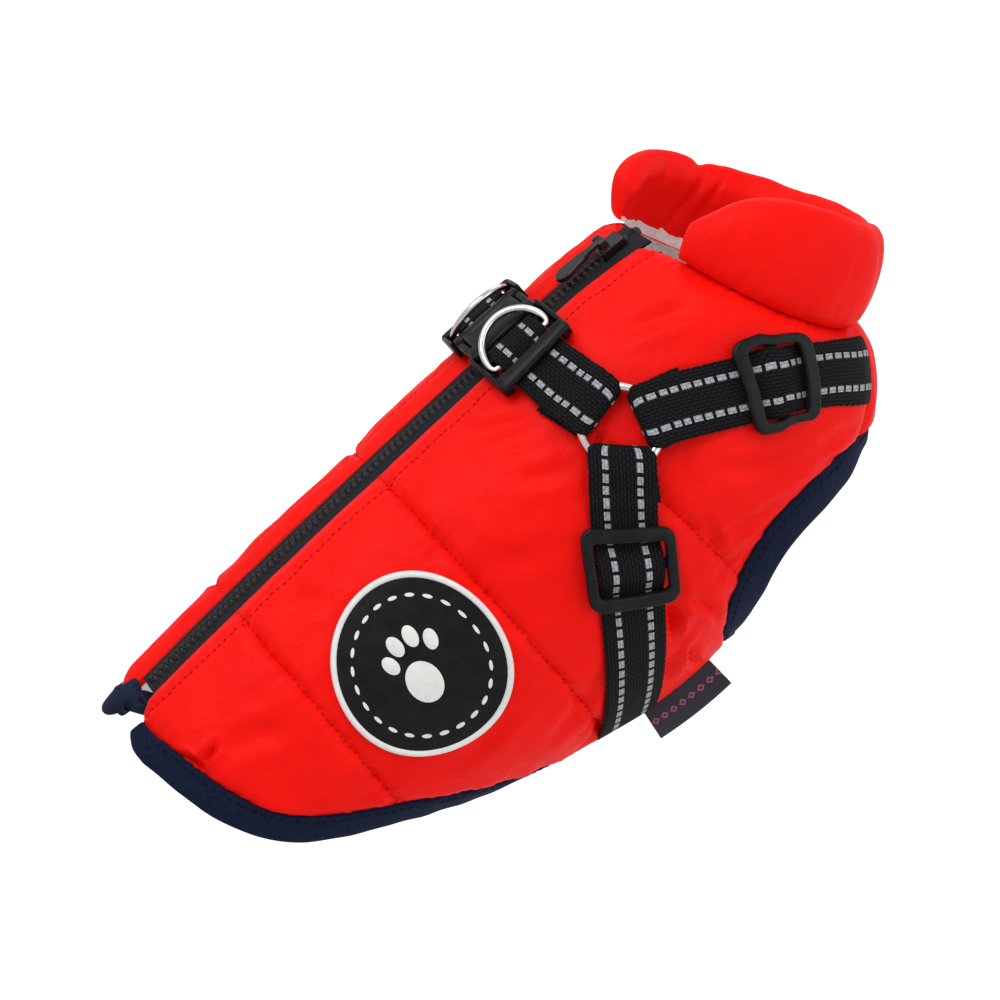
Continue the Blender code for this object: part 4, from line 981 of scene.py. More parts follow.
def pressed(points, bands):
    """The most that the padding may rise under the webbing and the badge: it swells again beside them."""
    limit = np.full(points.shape[:-1], np.inf)
    for band in bands:
        kept = np.abs(band.angle) < CHEST_END_ANGLE
        away, _ = nearest(points, skin_point(band.along[kept], band.angle[kept]))
        limit = np.minimum(limit, WEB_BED - 0.35 + np.clip(away - WEB_PRESS, 0.0, None) * 0.3)
    away, _ = nearest(points, skin_point(*BADGE_PLACE)[None])
    return np.minimum(limit, PUFF_HEIGHT + 0.1 + np.clip(away - BADGE_PRESS, 0.0, None) * 0.35)


def rounded_rise(distance, reach=8.0):
    return np.sin(math.pi / 2 * np.clip(distance / reach, 0.0, 1.0)) ** 0.8


# Small folds beside a sewn line, in millimetres: height, how far they reach from it, length, and seed
QUILT_PUCKERS = ((0.48, 2.8, 3.6, 20), (0.46, 8.0, 12.0, 30))
SEAM_PUCKERS = ((0.56, 3.6, 4.0, 40), (0.5, 11.0, 14.0, 50))
PLACKET_PUCKERS = ((0.2, 2.5, 3.8, 60), (0.22, 8.0, 14.0, 61))


def puckers(away, run, rows, seed):
    return sum(high * np.exp(-away / reach) * waves(run, length, seed + own_seed)
               for high, reach, length, own_seed in rows)


def padded_heights(grid, skin, seed, side, bands, zip_edge):
    """Heights of the padded face over a grid: full fields, sewn lines, puckers at each seam, and creases."""
    looks = bpy.context.scene.jacket_cloth
    length, across = arcs(skin, axis=0), arcs(skin, axis=1)
    from_hem, to_neck = length, length[-1:] - length
    from_top, to_low = across, across[:, -1:] - across
    full = np.prod([rounded_rise(away) for away in (from_hem, to_neck, from_top, to_low)], axis=0)
    height = looks.puff_height + 0.32 * ripples(length, across, 40.0, seed)
    height += 0.1 * ripples(length, across, 12.0, seed + 1)
    gather = np.zeros(height.shape)
    for k, line in enumerate(QUILT_LINES):
        away = np.abs(grid[..., 0] - line)
        height -= looks.quilt_depth * (0.66 * np.exp(-(away / 1.25) ** 2) + 0.34 * np.exp(-away / 5.5))
        gather += puckers(away, across, QUILT_PUCKERS, seed + k)
    for away, run, k in ((from_hem, across, 1), (to_low, length, 2), (to_neck, across, 3)):
        gather += puckers(away, run, SEAM_PUCKERS, seed + k)
    if zip_edge:
        away = np.abs(from_top - looks.placket_width)
        gather += puckers(away, length, PLACKET_PUCKERS, seed)
        height -= 0.75 * np.exp(-(away / 1.2) ** 2) + 0.25 * np.exp(-away / 4.0)
        height -= 0.5 * (1 - rounded_rise(from_top, looks.placket_width))
    height = EDGE_HEIGHT + (height - EDGE_HEIGHT) * full + gather * np.clip(full * 2.5, 0.25, 1.0)
    if zip_edge:
        height -= 0.45 * np.exp(-from_top / 1.2)
    height += creased(skin, side, seed + 70) * np.clip(full * 1.8, 0.0, 1.0)
    return np.clip(np.minimum(height, pressed(skin, bands)), 1.5, None)


def make_panel(name, grid, seed, side, bands, zip_edge=False):
    """One cut panel of the shell, a padded wall over its places: its outer face, normals and object."""
    skin, normal = skin_point(grid[..., 0], grid[..., 1]), skin_normal(grid[..., 0], grid[..., 1])
    heights = padded_heights(grid, skin, seed, side, bands, zip_edge)
    uv = np.stack([arcs(skin, axis=0), arcs(skin, axis=1)], axis=-1)
    lining = 0.12 * ripples(uv[..., 0], uv[..., 1], 9.0, seed + 90)
    inner, outer = skin + normal * lining[..., None], skin + normal * heights[..., None]
    obj = wall_object(name, inner, outer, uv, shell_material(), fleece_material())
    return outer, normal, obj


def own(obj, body, slot, *nodes):
    """A finished piece rides on its body and stands for its CAD nodes, which are hidden; `slot` is not used."""
    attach(obj, body)
    if nodes:
        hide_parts(*nodes)
    return obj


def harness_bands():
    return {name + "_" + word: Band(route, side)
            for name, route in (("yoke", YOKE_ROUTE), ("chest", CHEST_ROUTE), ("belly", BELLY_ROUTE))
            for word, side in SIDES}


# Stitches, in millimetres: length, radius of the thread, and pitch
PLACKET_STITCH, QUILT_STITCH, BINDING_STITCH = (1.3, 0.24, 2.3), (1.3, 0.2, 2.2), (2.0, 0.2, 2.7)


class JACKET_OT_shell(bpy.types.Operator):
    """Make the two flanks and the chest panel as padded cloth, with their topstitching"""

    bl_idname = "jacket.shell"
    bl_label = "Shell"

    def execute(self, context):
        looks = context.scene.jacket_cloth
        bands = harness_bands().values()
        flank, chest = flank_grid(), chest_grid()
        lines, seams = [], []
        for word, side, seed in (("right", 1, 11), ("left", -1, 411)):
            grid = flank * np.array([1.0, side])
            outer, normal, obj = make_panel("flank_" + word + "_cloth", grid, seed, side, bands, zip_edge=True)
            own(obj, "jacket", "shell", "flank_" + word)
            across = arcs(skin_point(grid[..., 0], grid[..., 1]), axis=1)
            lines.append(self.line_at(across, looks.placket_width, outer, normal, 1))
            for quilt in QUILT_LINES:
                seams.append(self.line_at(grid[..., 0], quilt, outer, normal, 0))
        outer, normal, obj = make_panel("chest_cloth", chest, 811, 1, bands)
        own(obj, "jacket", "shell", "chest_panel")
        for quilt in QUILT_LINES[1:]:
            seams.append(self.line_at(chest[..., 0], quilt, outer, normal, 0))
        for name, paths, length, radius, pitch in (
            ("placket_stitches", lines, *PLACKET_STITCH), ("quilt_stitches", seams, *QUILT_STITCH),
        ):
            made = repeated(name, paths, stitch(length, radius), pitch, thread_material("red"))
            own(made, "jacket", "shell")
        return {"FINISHED"}

    @staticmethod
    def line_at(field, value, outer, normal, axis):
        """A line of stitches where a field over a panel takes a value, just above its face."""
        points = iso_line(field, value, outer, axis)
        ups = iso_line(field, value, normal, axis)
        keep = np.linalg.norm(np.diff(points, axis=0, prepend=points[:1]), axis=-1) < 6.0
        return points[keep] + ups[keep] * 0.08, ups[keep]


# --- Collar and bindings

COLLAR_FROM, COLLAR_END = 36.0, 4.0
COLLAR_LEAN = 33.0
COLLAR_PUFF = 8.0
COLLAR_CORE = 0.45
COLLAR_FACING = 0.1
COLLAR_PROFILE = (
    # out, as a part of the collar's thickness; up, as a part of its height
    (0.06, 0.01), (0.3, 0.01), (0.55, 0.01), (0.86, 0.12), (1.0, 0.38), (1.0, 0.68),
    (0.82, 0.9), (0.42, 1.0), (0.0, 0.96), (-0.18, 0.83), (-0.1, 0.66), (0.08, 0.42), (0.1, 0.15),
)
COLLAR_SHAPE = Table((
    # angle  height  lean
    (36.0, 10.5, -0.5),
    (42.0, 15.5, -1.5),
    (52.0, 22.5, -2.5),
    (66.0, 28.6, -3.0),
    (90.0, 32.0, -3.0),
    (120.0, 31.0, -2.0),
    (150.0, 28.5, -1.0),
    (180.0, 27.5, 0.0),
    (220.0, 28.0, 1.0),
    (265.0, 27.5, 2.0),
    (298.0, 24.5, 2.5),
    (312.0, 20.5, 3.0),
    (320.0, 15.5, 3.0),
    (324.0, 11.5, 2.5),
))
COLLAR_PINCHES = (
    # angle, half width, lost thickness, lost height, how far it leans with its height, in degrees
    (303.0, 3.2, 0.22, 0.0, -9.0),
    (287.0, 2.2, 0.34, 0.055, -16.0),
    (276.0, 1.8, 0.2, 0.008, -14.0),
    (262.0, 3.0, 0.14, 0.01, 8.0),
    (240.0, 4.0, 0.12, 0.008, -6.0),
    (214.0, 3.0, 0.13, 0.01, 7.0),
    (183.0, 4.0, 0.1, 0.008, -6.0),
    (156.0, 3.0, 0.12, 0.01, 6.0),
    (128.0, 3.4, 0.08, 0.006, -7.0),
    (101.0, 3.0, 0.06, 0.004, 8.0),
    (74.0, 3.2, 0.05, 0.004, 6.0),
    (52.0, 2.4, 0.06, 0.005, 8.0),
)
COLLAR_ENDS = Table((
    # from the end, in degrees; thickness, as a part of the full one
    (0.0, 0.34), (1.2, 0.68), (3.0, 0.9), (6.0, 1.0), (12.0, 1.0), (200.0, 1.0),
))


class JACKET_OT_collar(bpy.types.Operator):
    """Make the puffed stand collar, split at the back, with gathers along its seam"""

    bl_idname = "jacket.collar"
    bl_label = "Collar"

    def execute(self, context):
        end = 360.0 - COLLAR_FROM
        close = COLLAR_END * np.linspace(0, 1, 9)[:-1] ** 1.6
        middle = np.linspace(COLLAR_FROM + COLLAR_END, end - COLLAR_END, 380)
        angle = np.concatenate([COLLAR_FROM + close, middle, end - close[::-1]])
        thickness = COLLAR_ENDS(1, np.minimum(angle - COLLAR_FROM, end - angle))
        tilt = math.radians(COLLAR_LEAN)
        up = np.array([math.cos(tilt), 0.0, math.sin(tilt)])
        base = skin_point(neck_line(angle), angle)
        run = arcs(base)
        normal = skin_normal(np.full(angle.shape, NECK), angle)
        out = unit(normal - up * dot(normal, up)[:, None])
        seat = EDGE_HEIGHT * np.clip(dot(skin_normal(neck_line(angle), angle), up), 0.0, None) + GAP
        lean = COLLAR_SHAPE(2, angle)
        lost_height = sum(less * np.exp(-((angle - at - 0.8 * skew) / (width * 1.5)) ** 2)
                          for at, width, _, less, skew in COLLAR_PINCHES)
        uneven = 0.008 * waves(run, 30.0, 5) + 0.006 * waves(run, 13.0, 6)
        height = COLLAR_SHAPE(1, angle) * (1 + uneven - lost_height)
        plump = 1.05 + 0.05 * waves(run, 24.0, 7)
        profile = smooth_profile(COLLAR_PROFILE, 48)
        thick, high = profile[:, 0][None], profile[:, 1][None]
        gathers = 0.5 + 0.5 * waves(run, 4.6, 8)[:, None]
        wide = 0.5 + 0.5 * waves(run, 12.0, 9)[:, None]
        lost = sum(less * np.exp(-((angle[:, None] - at - skew * high) / width) ** 2)
                   for at, width, less, _, skew in COLLAR_PINCHES)
        reach = (thick - COLLAR_CORE) * thickness[:, None] * plump[:, None]
        above = np.clip(high / 0.06, 0.0, 1.0)
        folds = 0.24 * gathers * np.exp(-high / 0.11) + 0.16 * wide * np.exp(-high / 0.3) + lost
        reach = reach * (1 - above * folds) + COLLAR_CORE
        lift = high * (height[:, None] + 0.5) - 0.2 + seat[:, None] * np.clip(reach * 4, 0.0, 1.0)
        side = reach * COLLAR_PUFF + lean[:, None] * high * high
        rings = base[:, None] + out[:, None] * side[..., None] + up * lift[..., None]
        uv = np.stack(np.broadcast_arrays(run[:, None], high * height[:, None] * np.sign(thick - 0.4)), axis=-1)
        inside = [int(0.5 * (a[0] + b[0]) < COLLAR_CORE * 0.3 and min(a[1], b[1]) < COLLAR_FACING)
                  for a, b in zip(profile, np.roll(profile, -1, axis=0))]
        obj = tube_object("collar_padding", rings, [shell_material(), fleece_material()], uv=uv, slots=inside)
        own(obj, "jacket", "shell", "collar")
        return {"FINISHED"}


ARMHOLE_BINDING_WIDTH, ARMHOLE_BINDING_LOW, ARMHOLE_FLARE = 11.0, 4.6, 4.0 / 11.0
HEM_FROM, STITCH_REACH = 18.5, 0.14
BINDING_PROFILE = (
    # reach  height, as parts of the binding's width and thickness
    (-0.05, 0.3), (-0.07, 0.72), (-0.03, 0.98), (0.12, 1.04), (0.45, 1.02), (0.8, 0.96), (0.96, 0.76),
    (1.0, 0.48), (0.94, 0.18), (0.75, 0.04), (0.45, 0.0), (0.1, 0.05),
)


def even_places(places, step, closed=False):
    """Places along an edge, an even distance apart on the skin."""
    places = np.concatenate([places, places[:1]]) if closed else places
    at = arcs(skin_point(places[:, 0], places[:, 1]))
    goal = even_steps(0.0, at[-1], step)
    goal = goal[:-1] if closed else goal
    return np.stack([np.interp(goal, at, places[:, k]) for k in range(2)], axis=-1), goal


def bind_edge(name, places, width_at, closed, flare_at, turn, seed):
    """A binding along an edge of the cloth, with small puckers beside its seam; its line of stitches too.

    By angle, `width_at` gives its width, and `flare_at` how far its free edge stands off for each mm of it."""
    places, run = even_places(places, 0.75, closed)
    before, after = np.roll(places, 1, axis=0), np.roll(places, -1, axis=0)
    if not closed:
        before[0], after[-1] = places[0], places[-1]
    along, angle = places.T
    width, flare = width_at(np.abs(angle)), flare_at(np.abs(angle))
    normal = skin_normal(along, angle)
    outward = unit(np.cross(normal, skin_point(*after.T) - skin_point(*before.T))) * turn
    rings = []
    small, wide = waves(run, 2.9, seed), waves(run, 16.0, seed + 1)
    for reach, height in smooth_profile(BINDING_PROFILE, 24):
        near = max(0.0, 1 - max(reach, 0.0) * 3)
        away = GAP + reach * width + 0.16 * small * near + 0.01 * wide * reach * width
        rise = height * BINDING_HEIGHT * (1 + 0.05 * wide) + flare * width * reach
        rise += 0.14 * small * near * height
        rings.append(on_skin(*slide(along, angle, outward * away[:, None]), rise))
    rings = np.stack(rings, axis=1)
    uv = np.stack(np.broadcast_arrays(run[:, None], arcs(rings, axis=1)), axis=-1)
    obj = tube_object(name, rings, [binding_material()], closed=closed, uv=uv)
    at = slide(along, angle, outward * (GAP + STITCH_REACH * width)[:, None])
    line = on_skin(*at, BINDING_HEIGHT * 1.055 + flare * width * STITCH_REACH)
    if closed:
        line, normal = np.concatenate([line, line[:1]]), np.concatenate([normal, normal[:1]])
    return obj, (line, normal)


def hem_binding_width(angle):
    """The hem's binding starts below the zip on the right, and runs out in a point past it on the left."""
    right = np.interp(angle, (HEM_FROM, 23.0, 30.0, 60.0), (0.62, 0.84, 0.94, 1.0))
    left = np.interp(360.0 - angle, (-7.0, -1.0, 4.0, 8.0, 14.0, 24.0), (0.12, 0.5, 1.2, 1.22, 1.02, 1.0))
    return bpy.context.scene.jacket_cloth.hem_binding_width * np.where(angle < 180.0, right, left)


def hem_droop(angle):
    """The left end of the hem's binding hangs a little, for each mm of its width."""
    return np.interp(360.0 - angle, (-7.0, 5.0, 14.0, 26.0), (-0.3, -0.2, -0.1, 0.0))


def armhole_flare(angle):
    return np.full(angle.shape, ARMHOLE_FLARE)


def armhole_binding_width(angle):
    """The leg hole's binding is broad over the shoulder, and narrow round its ends and below."""
    part = np.clip((SEAM_ANGLE - angle) / ARMHOLE_RISE / 0.8, 0.0, 1.0)
    return ARMHOLE_BINDING_LOW + (ARMHOLE_BINDING_WIDTH - ARMHOLE_BINDING_LOW) * eased(part)


class JACKET_OT_bindings(bpy.types.Operator):
    """Bind the hem and the two leg holes, and stitch the bindings down"""

    bl_idname = "jacket.bindings"
    bl_label = "Bindings"

    def execute(self, context):
        rear = rear_edge(np.linspace(0.0, 1.0, 160))
        along = even_steps(float(HEM(1, HEM_CORNER)), HEM_SEAM, 1.0)[1:]
        right = np.concatenate([rear, np.stack([along, hem_angle_at(along)], axis=-1)])
        belly = chest_grid()[0, 1:-1]
        left = right[::-1] * np.array([1.0, -1.0]) + np.array([0.0, 360.0])
        across = np.stack([rear[0, 0] - 0.2 * np.arange(8), np.linspace(352.0, 367.0, 8)], axis=-1)
        places = np.concatenate([right[right[:, 1] > HEM_FROM], belly, left, across])
        hem, hem_line = bind_edge("hem_tape", places, hem_binding_width, False, hem_droop, -1.0, 21)
        own(hem, "jacket", "binding", "hem_binding")
        along, angle = hole_place(np.linspace(0.0, 2 * math.pi, 240, endpoint=False))
        # The stitches stop short of the hem binding's tapered ends
        lines = [tuple(part[6:-24] for part in hem_line)]
        for word, side in SIDES:
            places = np.stack([along, angle * side], axis=-1)
            obj, line = bind_edge("leg_hole_tape_" + word, places, armhole_binding_width, True, armhole_flare,
                                  -side, 31 + side)
            own(obj, "jacket", "binding", "armhole_binding_" + word)
            lines.append(line)
        length, radius, pitch = BINDING_STITCH
        made = repeated("binding_stitches", lines, stitch(length, radius), pitch, thread_material("navy"))
        own(made, "jacket", "binding")
        return {"FINISHED"}


# --- Webbing


def loop_half_width(distance):
    """The webbing bunches where it folds round the ring, so that three loops share it."""
    return min(WEB_WIDTH / 2, LOOP_TAPER * (distance - WEB_THICKNESS / 2))


def ring_loop():
    """Rows of webbing that starts at its sewn tail, runs under the ring's wire and comes back over it."""
    full = WEB_WIDTH / 2
    rows = [(TAIL_LENGTH, LAYER_LOW, full), (16.0, LAYER_LOW, full), (11.0, LAYER_LOW, full)]
    for step in range(13):
        turn = math.pi * step / 12
        distance = LOOP_CENTRE - LOOP_RADIUS * math.sin(turn)
        rows.append((distance, RING_WIRE_HEIGHT - LOOP_RADIUS * math.cos(turn), loop_half_width(distance)))
    over = RING_WIRE_HEIGHT + LOOP_RADIUS
    rows += [(11.0, over, full), (13.5, over - 0.1, full), (16.5, LAYER_HIGH + 1.0, full)]
    return rows + [(19.0, LAYER_HIGH, full), (TAIL_LENGTH, LAYER_HIGH, full)]


def glide_rise(centre):
    """Rows of webbing under a slider's outer bars and over its middle bar."""
    full = WEB_WIDTH / 2
    over = GLIDE_CENTRE_TOP + GAP + WEB_THICKNESS / 2
    half = ((-13.0, LAYER_LOW), (-10.0, LAYER_LOW - 0.1), (-7.4, LAYER_LOW - 0.1), (-5.6, LAYER_LOW + 0.8),
            (-3.4, over - 0.5), (-1.8, over))
    rows = [(centre + at, height, full) for at, height in half]
    return rows + [(centre - at, height, full) for at, height in reversed(half)]


def ribbon(name, band, rows):
    """Webbing along a band, with thin rounded edges. Rows give distance, middle height and half width."""
    rows = np.array(rows, float)
    at = arcs(rows[:, :2])
    goal = even_steps(0.0, at[-1], 0.55)
    path = np.stack([np.interp(goal, at, rows[:, k]) for k in range(3)], axis=-1)
    for _ in range(2):
        padded = np.concatenate([2 * path[:1] - path[1:2], path, 2 * path[-1:] - path[-2:-1]])
        path = (padded[:-2] + padded[1:-1] * 2 + padded[2:]) / 4
    run = arcs(path[:, :2])
    ahead = unit(np.gradient(path[:, :2], axis=0))
    share = np.array([-1.0, -0.975, -0.93, -0.84, -0.6, -0.3, 0.0, 0.3, 0.6, 0.84, 0.93, 0.975, 1.0])
    inset = np.clip((np.abs(share) * WEB_WIDTH / 2 - 9.3) / 0.7, 0.0, 1.0)
    half_thick = WEB_THICKNESS / 2 * (1 - 0.72 * inset ** 2)
    share, offset = np.concatenate([share, share[::-1]]), np.concatenate([half_thick, -half_thick[::-1]])
    tail = np.clip(1 - run / (TAIL_LENGTH - 9.0), 0.0, 1.0)[:, None] * TAIL_SHIFT
    ragged = 0.16 * np.stack([waves(run, 2.1, 3), waves(run, 2.3, 4)], axis=1)
    edge = np.where(share[None] > 0, ragged[:, :1], ragged[:, 1:]) * share ** 4
    across = share[None] * path[:, 2:3] + tail + edge
    distance = path[:, 0:1] - ahead[:, 1:2] * offset[None]
    height = path[:, 1:2] + ahead[:, 0:1] * offset[None]
    rings = band.point(distance, across, height)
    uv = np.stack(np.broadcast_arrays(run[:, None], share[None] * WEB_WIDTH / 2), axis=-1)
    return tube_object(name, rings, [webbing_material()], uv=uv)


def side_rows(glide_at, end):
    """From a ring through a slider to a seam, where the webbing is sewn down."""
    rows = ring_loop() + [(TAIL_LENGTH + 3.0, LAYER_LOW + 0.4, WEB_WIDTH / 2)] + glide_rise(glide_at)
    return rows + [(end - 8.0, LAYER_LOW, WEB_WIDTH / 2), (end, LAYER_LOW - STRAP_END_DROP, WEB_WIDTH / 2)]


def back_rows(band):
    """From a ring over the D-ring's bar, round the buckle's inner bar, and back under."""
    middle = band.length / 2
    frame_half, held = WEB_WIDTH / 2 - 0.5, WEB_WIDTH / 2 - 1.2
    rows = ring_loop() + [(middle + at, height, half) for at, height, half in (
        (-27.5, LAYER_HIGH, frame_half), (-21.8, LAYER_HIGH, frame_half), (-20.8, LAYER_HIGH + 0.3, held),
        (-18.4, D_RING_HEIGHT + 1.6, held), (-D_RING_AT, D_RING_HEIGHT + 2.3, held),
        (-15.2, D_RING_HEIGHT + 2.15, held), (-13.6, INNER_BAR_HEIGHT + INNER_BAR_TURN, held),
    )]
    for step in range(13):
        turn = math.pi * step / 12
        rows.append((middle - INNER_BAR_AT + INNER_BAR_TURN * math.sin(turn),
                     INNER_BAR_HEIGHT + INNER_BAR_TURN * math.cos(turn), held))
    return rows + [(middle - at, LAYER_LOW, held) for at in (15.0, 22.0, 29.0)]


class JACKET_OT_webbing(bpy.types.Operator):
    """Lay the webbing of the harness over the jacket, with its loops and folds"""

    bl_idname = "jacket.webbing"
    bl_label = "Webbing"

    def execute(self, context):
        bands = harness_bands()
        for word, _ in SIDES:
            yoke, chest, belly = (bands[route + "_" + word] for route in ("yoke", "chest", "belly"))
            chest_end = chest.distance_at(CHEST_END_ANGLE)
            belly_end = belly.distance_at(BELLY_END_ANGLE) - BELLY_END_BACK
            for node, band, rows in (
                ("back_strap_", yoke, back_rows(yoke)),
                ("chest_strap_", chest, side_rows(CHEST_GLIDE_AT, chest_end)),
                ("belly_strap_", belly, side_rows(BELLY_GLIDE_AT, belly_end)),
            ):
                own(ribbon(node + word + "_webbing", band, rows), "jacket", "webbing", node + word)
        return {"FINISHED"}


# --- Rings and moulded hardware


def lay_mesh(name, bm, band, distance):
    """A flat plastic mesh in millimetres, laid on the skin: x along a band, y across it and z its height.

    It is cut finely enough to bend with the skin."""
    for axis in range(2):
        values = [vert.co[axis] for vert in bm.verts]
        low, high = min(values), max(values)
        count = max(1, int(round((high - low) / LAID_STEP)))
        for k in range(1, count):
            place, direction = [0.0, 0.0, 0.0], [0.0, 0.0, 0.0]
            place[axis], direction[axis] = low + (high - low) * k / count, 1.0
            geometry = bm.verts[:] + bm.edges[:] + bm.faces[:]
            bmesh.ops.bisect_plane(bm, geom=geometry, plane_co=place, plane_no=direction)
    bm.verts.index_update()
    x, y, z = np.array([vert.co[:] for vert in bm.verts]).T
    faces = [[vert.index for vert in face.verts] for face in bm.faces]
    bm.free()
    return mesh_object(name, band.point(distance + x, y, z), faces, [plastic_material()], sharp=38.0)


def rounded_box(span_x, span_y, span_z, radius):
    """A box between two values on each axis, with its edges rounded."""
    bm = bmesh.new()
    bmesh.ops.create_cube(bm, size=1.0)
    for vert in bm.verts:
        for axis, span in enumerate((span_x, span_y, span_z)):
            vert.co[axis] = min(span) if vert.co[axis] < 0 else max(span)
    bmesh.ops.bevel(bm, geom=bm.edges[:], offset=radius, segments=3, affect="EDGES", profile=0.5)
    return bm


def arc_points(x, y, radius, start, end, steps):
    """Points of an arc round (x, y), between two angles in degrees."""
    turn = np.radians(np.linspace(start, end, steps + 1))
    return np.stack([x + radius * np.cos(turn), y + radius * np.sin(turn)], axis=-1)


def rounded_rectangle(length, width, radius, steps=7):
    x, y = length / 2 - radius, width / 2 - radius
    return np.concatenate([arc_points(x * across, y * up, radius, start, start + 90, steps)
                           for start, across, up in ((0, 1, 1), (90, -1, 1), (180, -1, -1), (270, 1, -1))])


def plate(outlines, low, high, bevel):
    """A flat plate with rounded edges from closed outlines, the first its edge and the others its windows."""
    curve = bpy.data.curves.new("plate", "CURVE")
    curve.dimensions = "2D"
    curve.fill_mode = "BOTH"
    curve.extrude = (high - low) / 2 - bevel
    curve.bevel_depth = bevel
    curve.bevel_resolution = 2
    curve.offset = -bevel
    for outline in outlines:
        spline = curve.splines.new("POLY")
        spline.points.add(len(outline) - 1)
        for point, (x, y) in zip(spline.points, outline):
            point.co = (x, y, 0.0, 1.0)
        spline.use_cyclic_u = True
    mesh = mesh_taken(linked("plate", curve))
    bm = bmesh.new()
    bm.from_mesh(mesh)
    bpy.data.meshes.remove(mesh)
    bmesh.ops.remove_doubles(bm, verts=bm.verts, dist=1e-4)
    bmesh.ops.translate(bm, verts=bm.verts, vec=(0.0, 0.0, (low + high) / 2))
    bmesh.ops.recalc_face_normals(bm, faces=bm.faces)
    return bm


class JACKET_OT_rings(bpy.types.Operator):
    """Make the two round rings of the harness and the two D-rings that swing on the webbing"""

    bl_idname = "jacket.rings"
    bl_label = "Rings"

    def execute(self, context):
        bands = harness_bands()
        for word, side in SIDES:
            own(self.round_ring("ring_wire_" + word, bands["yoke_" + word]), "jacket", "nickel", "ring_" + word)
            lead = self.lead_ring("d_ring_wire_" + word, bands["yoke_right"], side)
            own(lead, "lead_ring_" + word, "nickel", "d_ring_" + word)
        return {"FINISHED"}

    @staticmethod
    def round_ring(name, band):
        centre = (band.along[0], band.angle[0])
        forward, _ = skin_slopes(*centre)
        normal, forward = skin_normal(*centre), unit(forward)
        side = unit(np.cross(normal, forward))
        turn = np.linspace(0, 2 * math.pi, 72, endpoint=False)[:, None]
        roll = np.linspace(0, 2 * math.pi, 16, endpoint=False)[None, :]
        outward = forward * np.cos(turn)[..., None] + side * np.sin(turn)[..., None]
        step = outward * ((RING_RADIUS + RING_WIRE / 2 * np.cos(roll)) * SKIN_SHRINK)[..., None]
        rings = on_skin(*slide(*centre, step), RING_WIRE_HEIGHT + RING_WIRE / 2 * np.sin(roll))
        return tube_object(name, rings, [nickel_material()], closed=True)

    @staticmethod
    def lead_ring(name, band, side):
        place = band.place(band.length / 2 - side * D_RING_AT)
        pivot = on_skin(*place, D_RING_HEIGHT)
        normal, axis = skin_normal(*place), np.array([1.0, 0.0, 0.0])
        inward = np.cross(normal, axis) * side
        lean = math.radians(D_RING_LEAN)
        reach = inward * math.cos(lean) + normal * math.sin(lean)
        corner, bar = 1.5, np.linspace(-8.6, 8.6, 13)
        flat = np.concatenate([
            np.stack([bar, 0.0 * bar], axis=-1), arc_points(D_RING_RADIUS - corner, corner, corner, -72, 0, 4),
            arc_points(0.0, D_RING_STRAIGHT, D_RING_RADIUS, 0, 180, 40),
            arc_points(corner - D_RING_RADIUS, corner, corner, 180, 252, 4),
        ])
        line = pivot + axis * flat[:, :1] + reach * flat[:, 1:]
        ahead = unit(np.roll(line, -1, axis=0) - np.roll(line, 1, axis=0))
        across = np.cross(axis, reach)
        inside = np.cross(across[None], ahead)
        roll = np.linspace(0, 2 * math.pi, 14, endpoint=False)[:, None]
        rings = line[:, None] + D_RING_WIRE / 2 * (inside[:, None] * np.cos(roll) + across * np.sin(roll))
        return tube_object(name, rings, [nickel_material()], closed=True)


